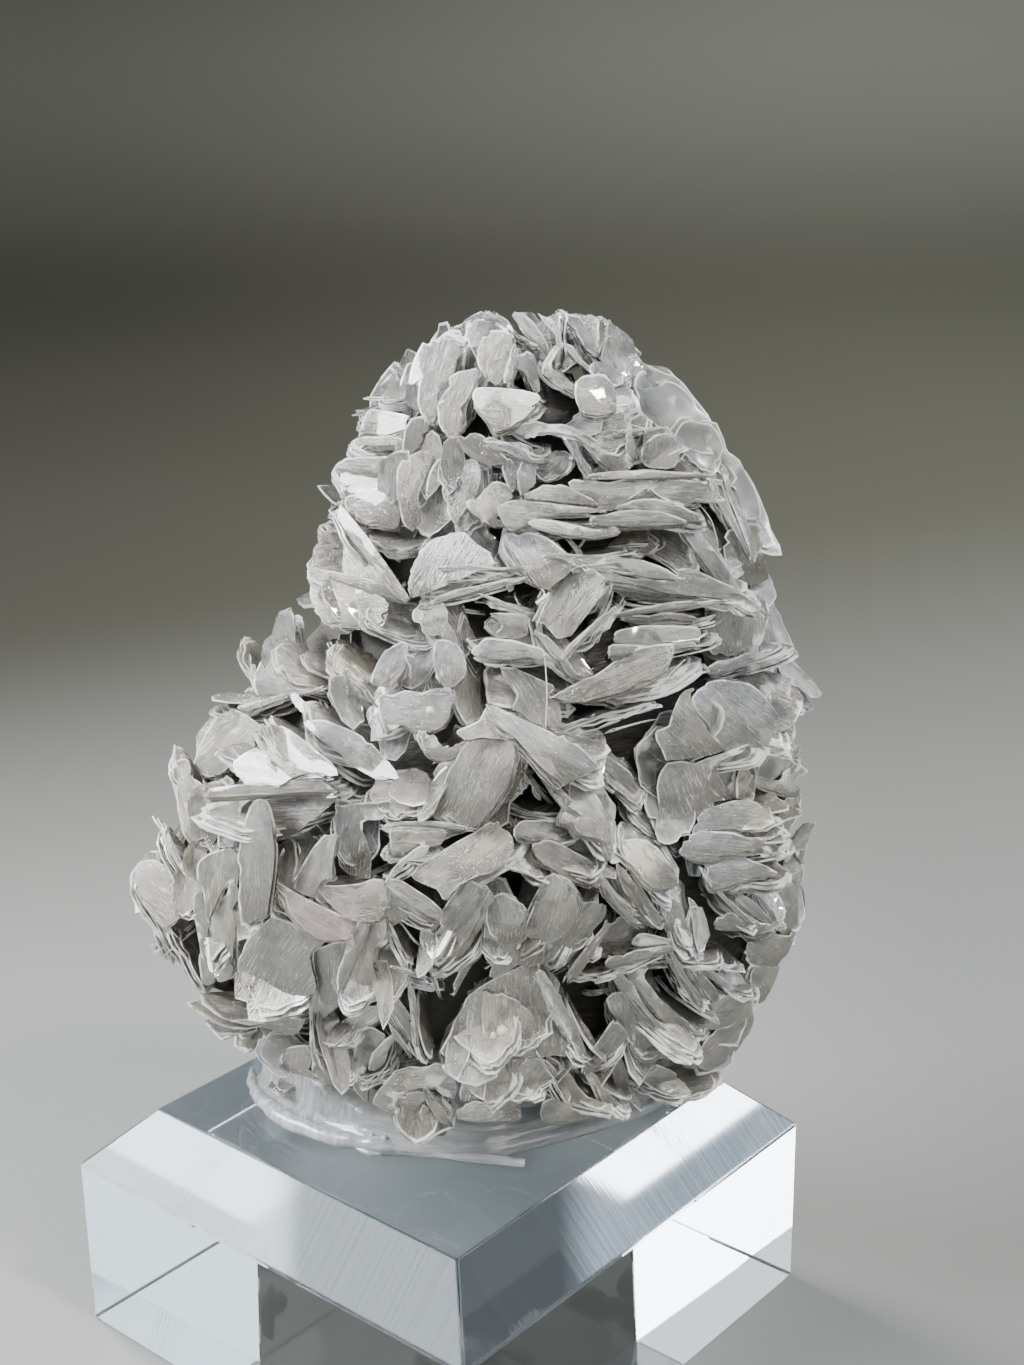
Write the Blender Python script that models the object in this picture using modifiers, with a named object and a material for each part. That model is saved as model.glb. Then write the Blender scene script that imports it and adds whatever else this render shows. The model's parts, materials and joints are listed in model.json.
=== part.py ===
"""Mica crystal specimen: a standing cluster of mica books on a clear bevelled block.

The block stands flat on the XY plane with its centre at the origin, +Z up.
Its top corner and the specimen's front face -Y.
The plates of the front are laid out on the plane Y = 0 as seen from FRONT_EYE, and
each is then pushed along its line of sight onto the swelling front of the cluster.
"""

import math
import random

import bmesh
import bpy
import numpy as np
from mathutils import Matrix, Vector

MM = 0.001

# Clear block (mm)
BLOCK_SIDE = 50.0
BLOCK_WALL = 17.7
BLOCK_BEVEL = 5.65
BLOCK_TURN = 49.3  # degrees about Z
BLOCK_TOP = BLOCK_WALL + BLOCK_BEVEL

# Clear resin foot that holds the cluster (mm)
GAP = 0.3
FOOT_HEIGHT = 3.0
FOOT_ROUNDING = 0.8
FOOT_SMOOTHNESS = 2
FOOT_CREASE = 35.0  # degrees between faces
FOOT_BASE = BLOCK_TOP + GAP
FOOT_TOP = FOOT_BASE + FOOT_HEIGHT
FOOT_OUTLINE = (
    (-18.3, 1.5), (-17.3, -1.6), (-14.3, -5.2), (-10.0, -8.6), (-5.0, -11.4),
    (0.6, -12.6), (6.0, -12.6), (10.8, -10.6), (15.6, -8.4), (19.8, -5.6),
    (22.8, -2.0), (23.4, 2.2), (20.4, 6.6), (15.2, 10.0), (8.6, 12.0),
    (1.2, 12.4), (-6.2, 11.2), (-12.4, 8.8), (-16.8, 5.4),
)

# Cluster (mm)
CLUSTER_BASE = FOOT_TOP + GAP
TRIM_SIZE = (120.0, 120.0, 60.0)
FRONT_EYE = Vector((7.5, -176.0, 126.7))
# height on the layout plane, left edge, right edge, depth of the front
ENVELOPE = (
    (16.0, -9.0, 14.0, 12.5),
    (20.0, -14.0, 21.0, 13.5),
    (25.0, -17.0, 26.0, 14.5),
    (28.0, -17.9, 28.5, 15.5),
    (33.0, -22.0, 30.5, 16.5),
    (37.0, -25.0, 32.2, 17.5),
    (41.0, -27.0, 34.0, 18.0),
    (45.5, -28.3, 34.6, 18.5),
    (50.0, -27.0, 34.2, 18.5),
    (57.6, -23.5, 33.3, 18.0),
    (64.0, -17.0, 32.4, 16.5),
    (70.0, -13.5, 31.4, 15.0),
    (75.0, -10.5, 30.4, 13.5),
    (80.0, -9.0, 29.4, 12.0),
    (85.0, -7.5, 27.6, 10.5),
    (90.0, -5.2, 24.8, 9.0),
    (93.0, -3.0, 21.5, 7.5),
    (96.0, -0.4, 17.5, 5.5),
    (99.0, 7.0, 14.0, 2.5),
)
CORE_SHRINK = 0.88
CORE_DEPTH = 0.84
CORE_BACK_DEPTH = 0.6
CORE_SIDES = 12
CORE_HEIGHTS = (20.0, 34.0, 46.0, 58.0, 68.0, 78.0, 87.0, 93.5)

# Each plate of the front (mm and degrees):
# across, up, length, width, turn of its length, tilt about its length, thickness, forward
PLATES = (
    # crown: scales on the left, upright fan in the middle, clear plates on the right
    (1.7, 93.9, 7.6, 5.6, 80, 24, 0.9, 0.6),
    (6.0, 95.4, 7.2, 4.2, 72, 30, 0.8, 1.2),
    (3.2, 91.2, 6.2, 4.0, 80, 18, 0.9, 1.8),
    (-3.0, 89.9, 5.4, 4.6, 6, 66, 1.6, 0.4),
    (-3.6, 87.4, 5.4, 5.0, 4, 58, 1.8, 0.8),
    (-4.9, 85.2, 6.4, 5.6, 2, 52, 1.8, 0.4),
    (-4.2, 82.2, 6.8, 6.0, 4, 40, 1.4, 0.8),
    (-0.8, 84.0, 7.2, 4.6, 84, 16, 0.9, 1.2),
    (1.4, 83.2, 7.6, 4.2, 80, 22, 0.9, 1.8),
    (4.0, 83.0, 6.8, 4.4, 82, 10, 1.0, 2.2),
    (7.2, 91.2, 5.8, 4.4, -4, 36, 1.2, 1.6),
    (12.0, 96.4, 7.0, 6.0, 12, 20, 0.9, -1.2),
    (14.4, 96.4, 5.4, 4.4, -62, 66, 0.7, 0.8),
    (15.8, 95.8, 6.8, 4.8, -50, 24, 0.9, 0.0),
    (15.9, 91.6, 5.4, 4.8, -4, 34, 2.4, 1.6),
    (15.6, 88.6, 5.6, 5.2, 4, 8, 1.2, 1.0),
    (21.8, 90.4, 10.4, 5.2, -50, 30, 0.8, -0.4),
    (23.9, 87.2, 5.8, 4.6, -52, 20, 0.8, 0.4),
    (18.9, 85.2, 11.6, 7.0, 1, 76, 0.7, 1.8),
    (11.2, 88.9, 6.6, 5.4, 3, 74, 0.7, 1.4),
    (8.2, 87.7, 6.0, 5.0, -18, 62, 0.9, 1.2),
    (17.4, 83.4, 8.4, 5.2, -12, 36, 1.0, 0.8),
    (11.2, 82.9, 8.0, 5.6, 0, 64, 1.5, 1.6),
    (12.4, 80.9, 9.4, 6.2, -4, 70, 1.2, 1.2),
    (19.9, 81.3, 9.6, 6.4, -2, 66, 1.8, 1.8),
    (20.2, 82.9, 7.8, 5.6, -6, 58, 1.0, 1.4),
    (26.2, 82.4, 7.4, 5.0, -64, 66, 0.8, 0.6),
    (27.8, 82.2, 10.6, 5.0, -65, 34, 0.9, 0.0),
    # upper middle
    (8.9, 77.5, 6.0, 4.8, -55, 22, 1.0, 1.4),
    (5.4, 77.8, 5.6, 3.4, -62, 26, 0.9, 1.2),
    (2.3, 77.4, 8.2, 6.2, 58, 10, 0.9, 0.8),
    (4.8, 76.4, 8.2, 5.0, 1, 74, 1.0, 1.8),
    (3.4, 74.7, 9.8, 6.0, 13, 76, 1.0, 1.4),
    (16.2, 76.9, 12.2, 7.0, -7, 76, 0.8, 1.6),
    (21.2, 75.2, 17.2, 9.0, -8, 72, 1.7, 1.8),
    (21.7, 78.0, 5.4, 4.2, -20, 20, 0.8, -0.6),
    (25.4, 77.7, 7.2, 5.6, -52, 58, 1.2, 1.4),
    (29.4, 74.6, 5.6, 3.6, -60, 30, 0.8, -0.4),
    (-5.0, 78.2, 8.4, 5.2, -52, 68, 1.0, 1.6),
    (-6.0, 75.4, 8.6, 6.2, -12, 68, 1.1, 1.2),
    (-6.9, 77.3, 7.2, 6.6, 10, 14, 1.0, 0.4),
    (-6.4, 73.4, 8.2, 5.4, -10, 26, 1.0, 0.6),
    (-2.0, 79.4, 6.4, 4.6, 4, 48, 1.0, 0.6),
    (-2.6, 71.2, 7.4, 4.6, -18, 32, 0.9, 0.6),
    (1.7, 71.4, 7.4, 4.6, -62, 20, 0.9, 0.6),
    (12.0, 73.6, 6.6, 4.6, 56, 30, 1.2, 1.6),
    (11.9, 68.4, 6.6, 3.6, -50, 42, 1.0, 1.6),
    (14.8, 70.6, 7.0, 5.0, 44, 72, 0.7, 1.4),
    (15.9, 73.0, 4.4, 4.0, 70, 70, 0.7, 1.2),
    (21.6, 72.9, 11.4, 7.0, 5, 78, 0.9, 1.6),
    (21.4, 71.2, 7.6, 6.0, 2, 72, 1.2, 0.8),
    (20.8, 68.9, 9.0, 6.2, 6, 66, 1.1, 1.8),
    (18.2, 66.3, 12.4, 6.4, 12, 46, 1.4, 1.4),
    (7.6, 68.9, 7.4, 5.2, -3, 56, 1.5, 1.6),
    (7.4, 73.2, 5.6, 4.4, -16, 74, 0.7, 1.0),
    (9.2, 65.2, 8.4, 5.6, -20, 26, 0.9, 0.8),
    (2.6, 66.4, 8.4, 4.6, -75, 34, 1.0, 0.8),
    (15.6, 62.7, 10.0, 4.4, 15, 76, 0.7, 1.2),
    (27.8, 70.4, 6.6, 5.8, 88, -16, 1.2, 0.2),
    (31.0, 70.4, 6.4, 3.0, -72, 42, 0.9, 0.0),
    (28.2, 67.4, 9.4, 5.8, 15, 68, 1.3, 0.8),
    (32.6, 64.8, 7.0, 3.2, -62, 40, 0.9, 0.0),
    # left flank
    (-15.2, 67.2, 6.4, 3.6, -60, 30, 0.9, 0.0),
    (-12.4, 69.2, 6.0, 3.8, 78, 26, 0.9, 0.0),
    (-14.6, 64.2, 11.4, 6.4, 12, 66, 0.9, 0.4),
    (-10.6, 66.6, 6.2, 4.4, -30, 36, 0.9, 0.2),
    (-6.6, 67.2, 7.6, 4.6, -38, 40, 0.9, 0.6),
    (-2.4, 64.4, 8.0, 5.4, 60, 14, 0.9, 0.2),
    (-8.2, 60.5, 9.8, 5.0, -38, 40, 1.1, 1.6),
    (-11.4, 58.4, 10.4, 5.0, -36, 42, 1.1, 1.6),
    (-14.8, 58.0, 11.2, 5.4, -15, 50, 1.2, 1.2),
    (-14.6, 54.0, 13.4, 7.4, 5, 32, 1.3, 1.6),
    (-19.2, 60.0, 7.4, 5.0, 56, 26, 1.0, 0.0),
    (-22.4, 55.8, 7.4, 3.8, -80, 40, 1.0, 0.0),
    (-20.4, 52.6, 7.4, 4.6, 80, 24, 1.0, 0.4),
    (-17.0, 48.5, 13.2, 4.8, 88, 34, 1.0, 1.8),
    (-23.8, 48.3, 7.4, 4.4, -68, 62, 1.0, 0.6),
    (-26.8, 46.8, 6.0, 4.0, 70, 30, 1.0, 0.0),
    (-25.9, 43.2, 9.4, 3.6, -70, 40, 1.0, 0.0),
    (-22.6, 46.4, 9.0, 4.0, 82, 36, 1.0, 0.6),
    (-23.6, 39.4, 9.0, 3.4, -66, 46, 1.0, 0.2),
    (-20.5, 42.4, 9.6, 3.6, 86, 40, 1.0, 0.8),
    (-14.0, 47.0, 7.4, 3.6, 80, 44, 0.9, 0.6),
    (-11.8, 47.8, 7.4, 4.0, 62, 52, 0.9, 1.2),
    (-12.0, 43.2, 8.8, 4.6, -33, 54, 1.2, 1.8),
    (-8.2, 44.6, 6.8, 4.2, -5, 26, 1.1, 1.2),
    (-14.6, 37.6, 9.8, 9.0, 60, 16, 1.1, 1.2),
    (-17.4, 33.0, 10.6, 5.0, -14, 44, 1.1, 0.6),
    (-14.6, 28.0, 6.6, 5.0, 4, 20, 1.0, 0.2),
    # middle
    (3.0, 56.6, 8.6, 4.8, 64, 42, 1.1, 1.8),
    (6.3, 57.2, 7.4, 5.8, 58, 8, 1.0, 1.6),
    (10.4, 61.0, 11.6, 6.8, -24, 46, 1.7, 2.4),
    (12.6, 58.8, 7.4, 5.2, -34, 30, 1.1, 2.0),
    (11.2, 56.2, 8.0, 5.2, -47, 70, 0.8, 2.0),
    (9.9, 53.2, 7.4, 4.8, -8, 74, 0.8, 1.4),
    (-0.8, 51.9, 9.2, 5.4, 0, 60, 0.8, 1.8),
    (-3.0, 54.4, 6.8, 4.8, -5, 22, 0.9, 1.0),
    (-7.2, 51.2, 6.4, 5.6, 84, 12, 0.9, 1.0),
    (-2.4, 48.0, 5.4, 4.0, 38, 64, 0.9, 2.2),
    (4.0, 48.8, 10.6, 6.4, 25, 38, 1.1, 2.4),
    (8.2, 48.6, 6.4, 5.2, -38, 34, 1.0, 2.0),
    (10.2, 51.4, 7.2, 4.4, -10, 36, 0.9, 1.4),
    (12.2, 48.6, 7.4, 4.4, -20, 30, 1.0, 2.2),
    (14.6, 52.7, 7.6, 4.4, -62, 36, 1.2, 2.4),
    (19.9, 47.4, 8.4, 4.8, -52, 36, 1.6, 2.6),
    (22.8, 42.2, 7.6, 3.6, -72, 50, 1.3, 2.2),
    (17.0, 45.4, 8.2, 5.0, -52, 70, 0.9, 1.8),
    (18.8, 44.8, 8.0, 5.0, -49, 72, 0.9, 1.8),
    (17.4, 55.8, 6.6, 4.0, -42, 40, 0.9, -0.6),
    (19.4, 52.4, 6.0, 4.0, -48, 44, 0.9, -0.2),
    # right flank
    (29.0, 62.1, 9.2, 7.4, -30, 16, 1.1, 0.6),
    (23.0, 60.6, 7.8, 5.8, 60, 12, 0.9, 0.0),
    (20.4, 57.6, 7.2, 3.4, 84, -20, 0.9, -0.8),
    (22.0, 53.8, 8.4, 5.4, 80, -14, 0.9, 0.4),
    (25.8, 58.2, 9.0, 5.4, 12, 62, 0.9, 0.8),
    (31.8, 56.6, 5.4, 4.4, 40, 24, 0.9, 0.0),
    (28.0, 51.6, 8.6, 5.6, -5, 42, 1.5, 1.2),
    (28.4, 49.2, 8.4, 5.4, -3, 46, 1.3, 1.4),
    (28.6, 46.6, 8.0, 5.4, -4, 48, 1.3, 1.4),
    (27.9, 43.3, 7.0, 4.6, -37, 68, 0.8, 1.2),
    (30.8, 43.4, 6.8, 4.4, 130, -36, 0.9, 0.4),
    (29.2, 41.4, 7.0, 4.2, 172, -46, 0.9, 0.6),
    (33.6, 48.0, 5.6, 3.0, 80, -46, 0.9, 0.0),
    (33.4, 43.6, 7.0, 3.6, 84, -44, 0.9, 0.0),
    (32.0, 39.4, 6.2, 3.8, 66, -40, 0.9, 0.0),
    # row of upright petals
    (-7.6, 37.6, 9.4, 4.8, 82, 20, 1.0, 1.8),
    (-4.2, 38.6, 9.2, 4.2, 86, 8, 0.9, 1.2),
    (-3.6, 41.0, 7.4, 4.2, -68, 60, 0.9, 2.0),
    (-2.6, 43.8, 7.0, 4.6, -33, 50, 1.5, 2.2),
    (1.2, 42.8, 9.8, 4.8, 62, 42, 1.1, 2.6),
    (3.2, 40.2, 8.4, 4.4, 58, 44, 1.0, 2.0),
    (6.2, 41.4, 7.8, 4.4, 87, 6, 0.9, 1.8),
    (9.4, 42.0, 8.8, 4.8, 68, 34, 1.0, 2.2),
    (11.6, 40.4, 7.4, 3.8, 64, 44, 0.9, 1.6),
    (13.4, 41.4, 7.6, 4.0, 61, 38, 1.0, 1.8),
    (14.6, 39.2, 6.8, 4.4, 56, 70, 0.7, 1.6),
    (17.8, 40.0, 5.6, 4.0, 8, 28, 0.9, 0.2),
    # lower right: angular nested books
    (17.2, 37.6, 9.8, 6.2, 22, 60, 1.1, 2.0),
    (23.9, 38.4, 6.6, 5.4, -22, 56, 1.1, 1.4),
    (20.2, 32.4, 13.2, 6.2, -48, 58, 1.5, 1.8),
    (22.0, 33.0, 10.0, 5.2, -46, 62, 1.1, 0.8),
    (23.8, 35.4, 7.4, 5.0, -58, 66, 0.8, 1.0),
    (27.8, 35.2, 6.0, 4.4, -28, 60, 0.8, 0.8),
    (28.2, 31.4, 7.4, 5.0, 58, -20, 1.0, 0.4),
    (26.6, 27.6, 7.2, 4.6, 56, -26, 0.9, 0.2),
    (18.8, 31.6, 8.0, 5.2, -70, 24, 0.9, 0.0),
    (16.8, 28.8, 6.6, 4.0, 58, 44, 1.0, 1.0),
    (16.0, 24.6, 7.6, 4.2, -55, 60, 1.0, 1.6),
    (20.0, 25.2, 7.4, 4.6, -30, 30, 0.9, 0.6),
    (23.6, 24.0, 7.0, 4.4, 20, 26, 0.9, 0.2),
    # bottom front
    (6.9, 32.2, 10.2, 10.0, 80, 14, 1.1, 1.6),
    (12.0, 31.6, 10.8, 4.6, -66, 58, 1.1, 2.2),
    (4.8, 31.0, 8.0, 6.2, 84, 12, 1.0, 2.6),
    (5.6, 26.6, 8.4, 5.6, 78, 24, 1.1, 2.8),
    (9.2, 25.6, 6.4, 4.8, 42, 22, 1.0, 3.0),
    (10.6, 25.8, 7.0, 4.4, -62, 66, 0.9, 3.2),
    (12.6, 23.8, 8.2, 4.4, -26, 52, 1.1, 2.4),
    (-2.6, 23.2, 8.2, 8.0, 88, 12, 1.2, 2.2),
    (-3.2, 31.8, 7.0, 3.6, -66, 54, 1.2, 1.6),
    (-1.8, 31.6, 7.4, 4.0, -86, 66, 0.8, 1.6),
    (-2.4, 36.2, 5.6, 3.8, -22, 52, 1.0, 1.4),
    (-11.0, 32.6, 12.4, 4.4, -88, 30, 1.1, 1.2),
    (-8.0, 31.6, 7.0, 4.4, 38, 32, 1.0, 1.6),
    (-8.2, 27.4, 6.8, 4.0, 64, 44, 1.1, 2.0),
    (-5.6, 27.0, 6.6, 4.0, 55, 52, 1.2, 2.0),
)

# Plates of the back, which follow a rule
BACK_SEED = 11
BACK_ROWS = (  # height on the layout plane, number of plates
    (35.5, 8), (43.0, 9), (51.0, 9), (59.0, 8), (67.0, 7), (75.0, 6), (83.0, 5), (90.0, 4), (95.5, 2),
)
BACK_LENGTH = (10.0, 14.5)
BACK_THICKNESS = (1.1, 1.8)
BACK_WIDTH = (0.6, 0.85)  # share of the length
BACK_REACH = 0.94
BACK_DEPTH = 0.85
BACK_PROUD = 0.8
BACK_RISE = 0.2
BACK_ARC = (-0.06, 1.06)  # half turns
BACK_LEANS = (26, 34, 42, 50, 58)  # degrees
BACK_TURN = 70.0  # most that a plate turns either way, degrees
BACK_SCATTER = 0.15  # most that a plate leaves its place along a row, as a share of the spacing
BACK_CLIMB = 2.0  # most that a plate leaves the height of its row
BACK_START = (0.25, 0.75)  # where even and odd rows begin, as a share of the spacing

# The six corners of each kind of plate, as shares of half its length and half its width
OUTLINES = (
    ((1.0, 0.08), (0.44, 0.98), (-0.62, 0.88), (-1.0, -0.1), (-0.46, -0.98), (0.66, -0.84)),
    ((0.98, -0.3), (0.74, 0.76), (-0.3, 1.0), (-1.0, 0.24), (-0.72, -0.8), (0.34, -1.0)),
    ((0.96, 0.36), (0.14, 1.0), (-0.84, 0.66), (-0.96, -0.4), (-0.1, -1.0), (0.84, -0.7)),
    ((1.0, -0.12), (0.6, 0.94), (-0.48, 0.96), (-1.0, 0.04), (-0.62, -0.92), (0.5, -0.94)),
)
# A plate seen flat-on has a root behind it, that carries it on the core
ROOT_TILT = 48.0
ROOT_DEPTH = 4.2
ROOT_SHARE = 0.55


def clear_scene():
    for thing in list(bpy.data.objects):
        bpy.data.objects.remove(thing, do_unlink=True)


def material(name, colour, roughness, transmission=0.0, ior=1.5):
    made = bpy.data.materials.new(name)
    made.use_nodes = True
    shader = made.node_tree.nodes["Principled BSDF"]
    shader.inputs["Base Color"].default_value = (*colour, 1.0)
    shader.inputs["Roughness"].default_value = roughness
    shader.inputs["Transmission Weight"].default_value = transmission
    shader.inputs["IOR"].default_value = ior
    return made


def add_object(name, shape, collection, finish=None):
    """A new object from a bmesh in millimetres."""
    bmesh.ops.recalc_face_normals(shape, faces=shape.faces[:])
    bmesh.ops.scale(shape, vec=(MM, MM, MM), verts=shape.verts[:])
    mesh = bpy.data.meshes.new(name)
    shape.to_mesh(mesh)
    shape.free()
    thing = bpy.data.objects.new(name, mesh)
    collection.objects.link(thing)
    if finish:
        mesh.materials.append(finish)
    return thing


def baked_mesh(thing):
    """The mesh that an object's modifiers or curve settings make."""
    bpy.context.view_layer.update()
    graph = bpy.context.evaluated_depsgraph_get()
    return bpy.data.meshes.new_from_object(thing.evaluated_get(graph))


def add_boolean(thing, name, operation, other):
    join = thing.modifiers.new(name, "BOOLEAN")
    join.operation = operation
    join.solver = "EXACT"
    join.object = other
    return join


def envelope(up):
    """Left edge, right edge and front depth of the cluster at a height on the layout plane."""
    table = np.array(ENVELOPE)
    return tuple(float(np.interp(up, table[:, 0], table[:, i])) for i in (1, 2, 3))


def depth_at(across, up):
    """How far the swelling front stands off the layout plane."""
    left, right, depth = envelope(up)
    share = (across - (left + right) / 2) / ((right - left) / 2)
    return depth * math.sqrt(max(0.0, 1.0 - share * share))


def on_sight(across, up, y):
    """The point at depth y on the line from FRONT_EYE through a place on the layout plane."""
    place = Vector((across, 0.0, up))
    return FRONT_EYE + (place - FRONT_EYE) * ((y - FRONT_EYE.y) / -FRONT_EYE.y)


def plate_axes(outward, turn, tilt):
    """Rotation of a plate: its length is turned about outward, then the plate tilts about its length."""
    level = Vector((0.0, 0.0, 1.0)).cross(outward).normalized()
    above = outward.cross(level)
    turn = math.radians(turn)
    tilt = math.radians(tilt)
    along = level * math.cos(turn) + above * math.sin(turn)
    over = above * math.cos(turn) - level * math.sin(turn)
    aside = over * math.cos(tilt) - outward * math.sin(tilt)
    return Matrix((along, aside, along.cross(aside))).transposed()


def add_plate(shape, centre, axes, size, kind, rooted):
    """One six-cornered plate; a rooted one tapers behind its face to a deep back."""
    long, wide, thick = size
    depth = thick / 2 + ROOT_DEPTH if rooted else thick
    share = ROOT_SHARE if rooted else 1.0
    corners = OUTLINES[kind % len(OUTLINES)]
    side = -1.0 if kind // len(OUTLINES) % 2 else 1.0
    plate = bmesh.ops.create_cone(shape, cap_ends=True, segments=6, radius1=share, radius2=1.0, depth=depth)
    for vert in plate["verts"]:
        sixth = math.floor(math.atan2(vert.co.y, vert.co.x) / math.radians(60.0))
        taper = vert.co.xy.length
        u, v = corners[sixth % 6]
        vert.co.x = u * taper * long / 2
        vert.co.y = v * taper * side * wide / 2
        vert.co.z += (thick - depth) / 2
    place = Matrix.Translation(centre) @ axes.to_4x4()
    bmesh.ops.transform(shape, matrix=place, verts=plate["verts"])


def front_plates(shape):
    """The plates of the table, each reaching the swelling front, or as far forward as it says."""
    for number, (across, up, long, wide, turn, tilt, thick, forward) in enumerate(PLATES):
        reach = abs(math.sin(math.radians(tilt))) * wide / 2
        centre = on_sight(across, up, reach - depth_at(across, up) - forward)
        axes = plate_axes((FRONT_EYE - centre).normalized(), turn, tilt)
        add_plate(shape, centre, axes, (long, wide, thick), number, abs(tilt) < ROOT_TILT)


def back_plates(shape):
    """Rows of plates round the back and the sides, each leaning at random in its place."""
    chance = random.Random(BACK_SEED)
    first, last = BACK_ARC
    for row, (up, count) in enumerate(BACK_ROWS):
        for i in range(count):
            place = i + BACK_START[row % 2] + chance.uniform(-BACK_SCATTER, BACK_SCATTER)
            angle = math.pi * (first + (last - first) * place / count)
            height = up + chance.uniform(-BACK_CLIMB, BACK_CLIMB)
            left, right, depth = envelope(height)
            across = (left + right) / 2 + (right - left) / 2 * BACK_REACH * math.cos(angle)
            outward = Vector((math.cos(angle), math.sin(angle), BACK_RISE)).normalized()
            tilt = chance.choice(BACK_LEANS)
            axes = plate_axes(outward, chance.uniform(-BACK_TURN, BACK_TURN), tilt)
            long = chance.uniform(*BACK_LENGTH)
            wide = long * chance.uniform(*BACK_WIDTH)
            buried = math.sin(math.radians(tilt)) * wide / 2 - BACK_PROUD
            centre = on_sight(across, height, BACK_DEPTH * depth * math.sin(angle)) - outward * buried
            size = (long, wide, chance.uniform(*BACK_THICKNESS))
            add_plate(shape, centre, axes, size, chance.randrange(2 * len(OUTLINES)), tilt < ROOT_TILT)


def core():
    """The solid heart that every plate grows from: a loft through rings of the envelope, drawn in."""
    shape = bmesh.new()
    rings = []
    for up in CORE_HEIGHTS:
        left, right, depth = envelope(up)
        ring = []
        for i in range(CORE_SIDES):
            angle = 2 * math.pi * (i + 0.5) / CORE_SIDES
            across = (left + right) / 2 + (right - left) / 2 * CORE_SHRINK * math.cos(angle)
            y = math.sin(angle) * depth * (CORE_BACK_DEPTH if math.sin(angle) > 0 else CORE_DEPTH)
            ring.append(shape.verts.new(on_sight(across, up, y)))
        rings.append(ring)
    for low, high in zip(rings, rings[1:]):
        for i in range(CORE_SIDES):
            j = (i + 1) % CORE_SIDES
            shape.faces.new((low[i], low[j], high[j], high[i]))
    shape.faces.new(rings[0][::-1])
    shape.faces.new(rings[-1])
    return shape


def keep_outer_shell(mesh):
    """Takes out the voids that the joined plates shut in."""
    shape = bmesh.new()
    shape.from_mesh(mesh)
    waiting = set(shape.faces)
    shells = []
    while waiting:
        shell = [waiting.pop()]
        for face in shell:
            near = {other for edge in face.edges for other in edge.link_faces} & waiting
            waiting -= near
            shell.extend(near)
        shells.append(shell)
    shells.sort(key=len)
    inner = [face for shell in shells[:-1] for face in shell]
    bmesh.ops.delete(shape, geom=inner, context="FACES")
    shape.to_mesh(mesh)
    shape.free()


def mica_cluster(parts, helpers, finish):
    """The core and all its plates as one solid, flat underneath."""
    cluster = add_object("mica_cluster", core(), parts, finish)
    plates = bmesh.new()
    front_plates(plates)
    back_plates(plates)
    blades = add_object("plates", plates, helpers)
    join = add_boolean(cluster, "join_plates", "UNION", blades)
    join.use_self = True
    trim = bmesh.new()
    bmesh.ops.create_cube(trim, size=1.0)
    bmesh.ops.scale(trim, vec=TRIM_SIZE, verts=trim.verts[:])
    underneath = add_object("underneath", trim, helpers)
    underneath.location.z = (CLUSTER_BASE - TRIM_SIZE[2] / 2) * MM
    add_boolean(cluster, "flat_underside", "DIFFERENCE", underneath)
    mesh = baked_mesh(cluster)
    cluster.modifiers.clear()
    cluster.data = mesh
    keep_outer_shell(mesh)


def resin_foot(parts, helpers, finish):
    """A low pool of clear resin with a rounded rim, as an extruded outline."""
    outline = bpy.data.curves.new("foot_outline", "CURVE")
    outline.dimensions = "2D"
    outline.fill_mode = "BOTH"
    outline.extrude = (FOOT_HEIGHT / 2 - FOOT_ROUNDING) * MM
    outline.bevel_depth = FOOT_ROUNDING * MM
    outline.bevel_resolution = 0
    outline.offset = -FOOT_ROUNDING * MM
    outline.resolution_u = FOOT_SMOOTHNESS
    spline = outline.splines.new("BEZIER")
    spline.bezier_points.add(len(FOOT_OUTLINE) - 1)
    for point, (x, y) in zip(spline.bezier_points, FOOT_OUTLINE):
        point.co = (x * MM, y * MM, 0.0)
        point.handle_left_type = "AUTO"
        point.handle_right_type = "AUTO"
    spline.use_cyclic_u = True
    pool = bpy.data.objects.new("foot_outline", outline)
    helpers.objects.link(pool)
    shape = bmesh.new()
    shape.from_mesh(baked_mesh(pool))
    bmesh.ops.remove_doubles(shape, verts=shape.verts[:], dist=0.01 * MM)
    bmesh.ops.scale(shape, vec=(1 / MM, 1 / MM, 1 / MM), verts=shape.verts[:])
    foot = add_object("resin_foot", shape, parts, finish)
    foot.location.z = (FOOT_BASE + FOOT_HEIGHT / 2) * MM
    foot.data.shade_smooth()
    foot.data.set_sharp_from_angle(angle=math.radians(FOOT_CREASE))
    bpy.data.objects.remove(pool, do_unlink=True)


def acrylic_block(parts, finish):
    """The square block, with one wide flat bevel round its top."""
    shape = bmesh.new()
    bmesh.ops.create_cube(shape, size=1.0)
    bmesh.ops.scale(shape, vec=(BLOCK_SIDE, BLOCK_SIDE, BLOCK_TOP), verts=shape.verts[:])
    weight = shape.edges.layers.float.new("bevel_weight_edge")
    for edge in shape.edges:
        edge[weight] = float(all(vert.co.z > 0.0 for vert in edge.verts))
    block = add_object("acrylic_block", shape, parts, finish)
    block.location.z = BLOCK_TOP / 2 * MM
    block.rotation_euler.z = math.radians(BLOCK_TURN)
    bevel = block.modifiers.new("top_bevel", "BEVEL")
    bevel.limit_method = "WEIGHT"
    bevel.width = BLOCK_BEVEL * MM
    bevel.segments = 1


def main():
    clear_scene()
    parts = bpy.data.collections.new("mica_crystal")
    helpers = bpy.data.collections.new("helpers")
    bpy.context.scene.collection.children.link(parts)
    bpy.context.scene.collection.children.link(helpers)
    mica_cluster(parts, helpers, material("mica", (0.62, 0.6, 0.56), 0.35))
    resin_foot(parts, helpers, material("clear_resin", (0.86, 0.87, 0.86), 0.12, 0.9))
    acrylic_block(parts, material("clear_acrylic", (0.9, 0.93, 0.94), 0.03, 1.0, 1.49))
    for helper in helpers.objects:
        helper.hide_render = True
        helper.display_type = "WIRE"


main()
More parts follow.
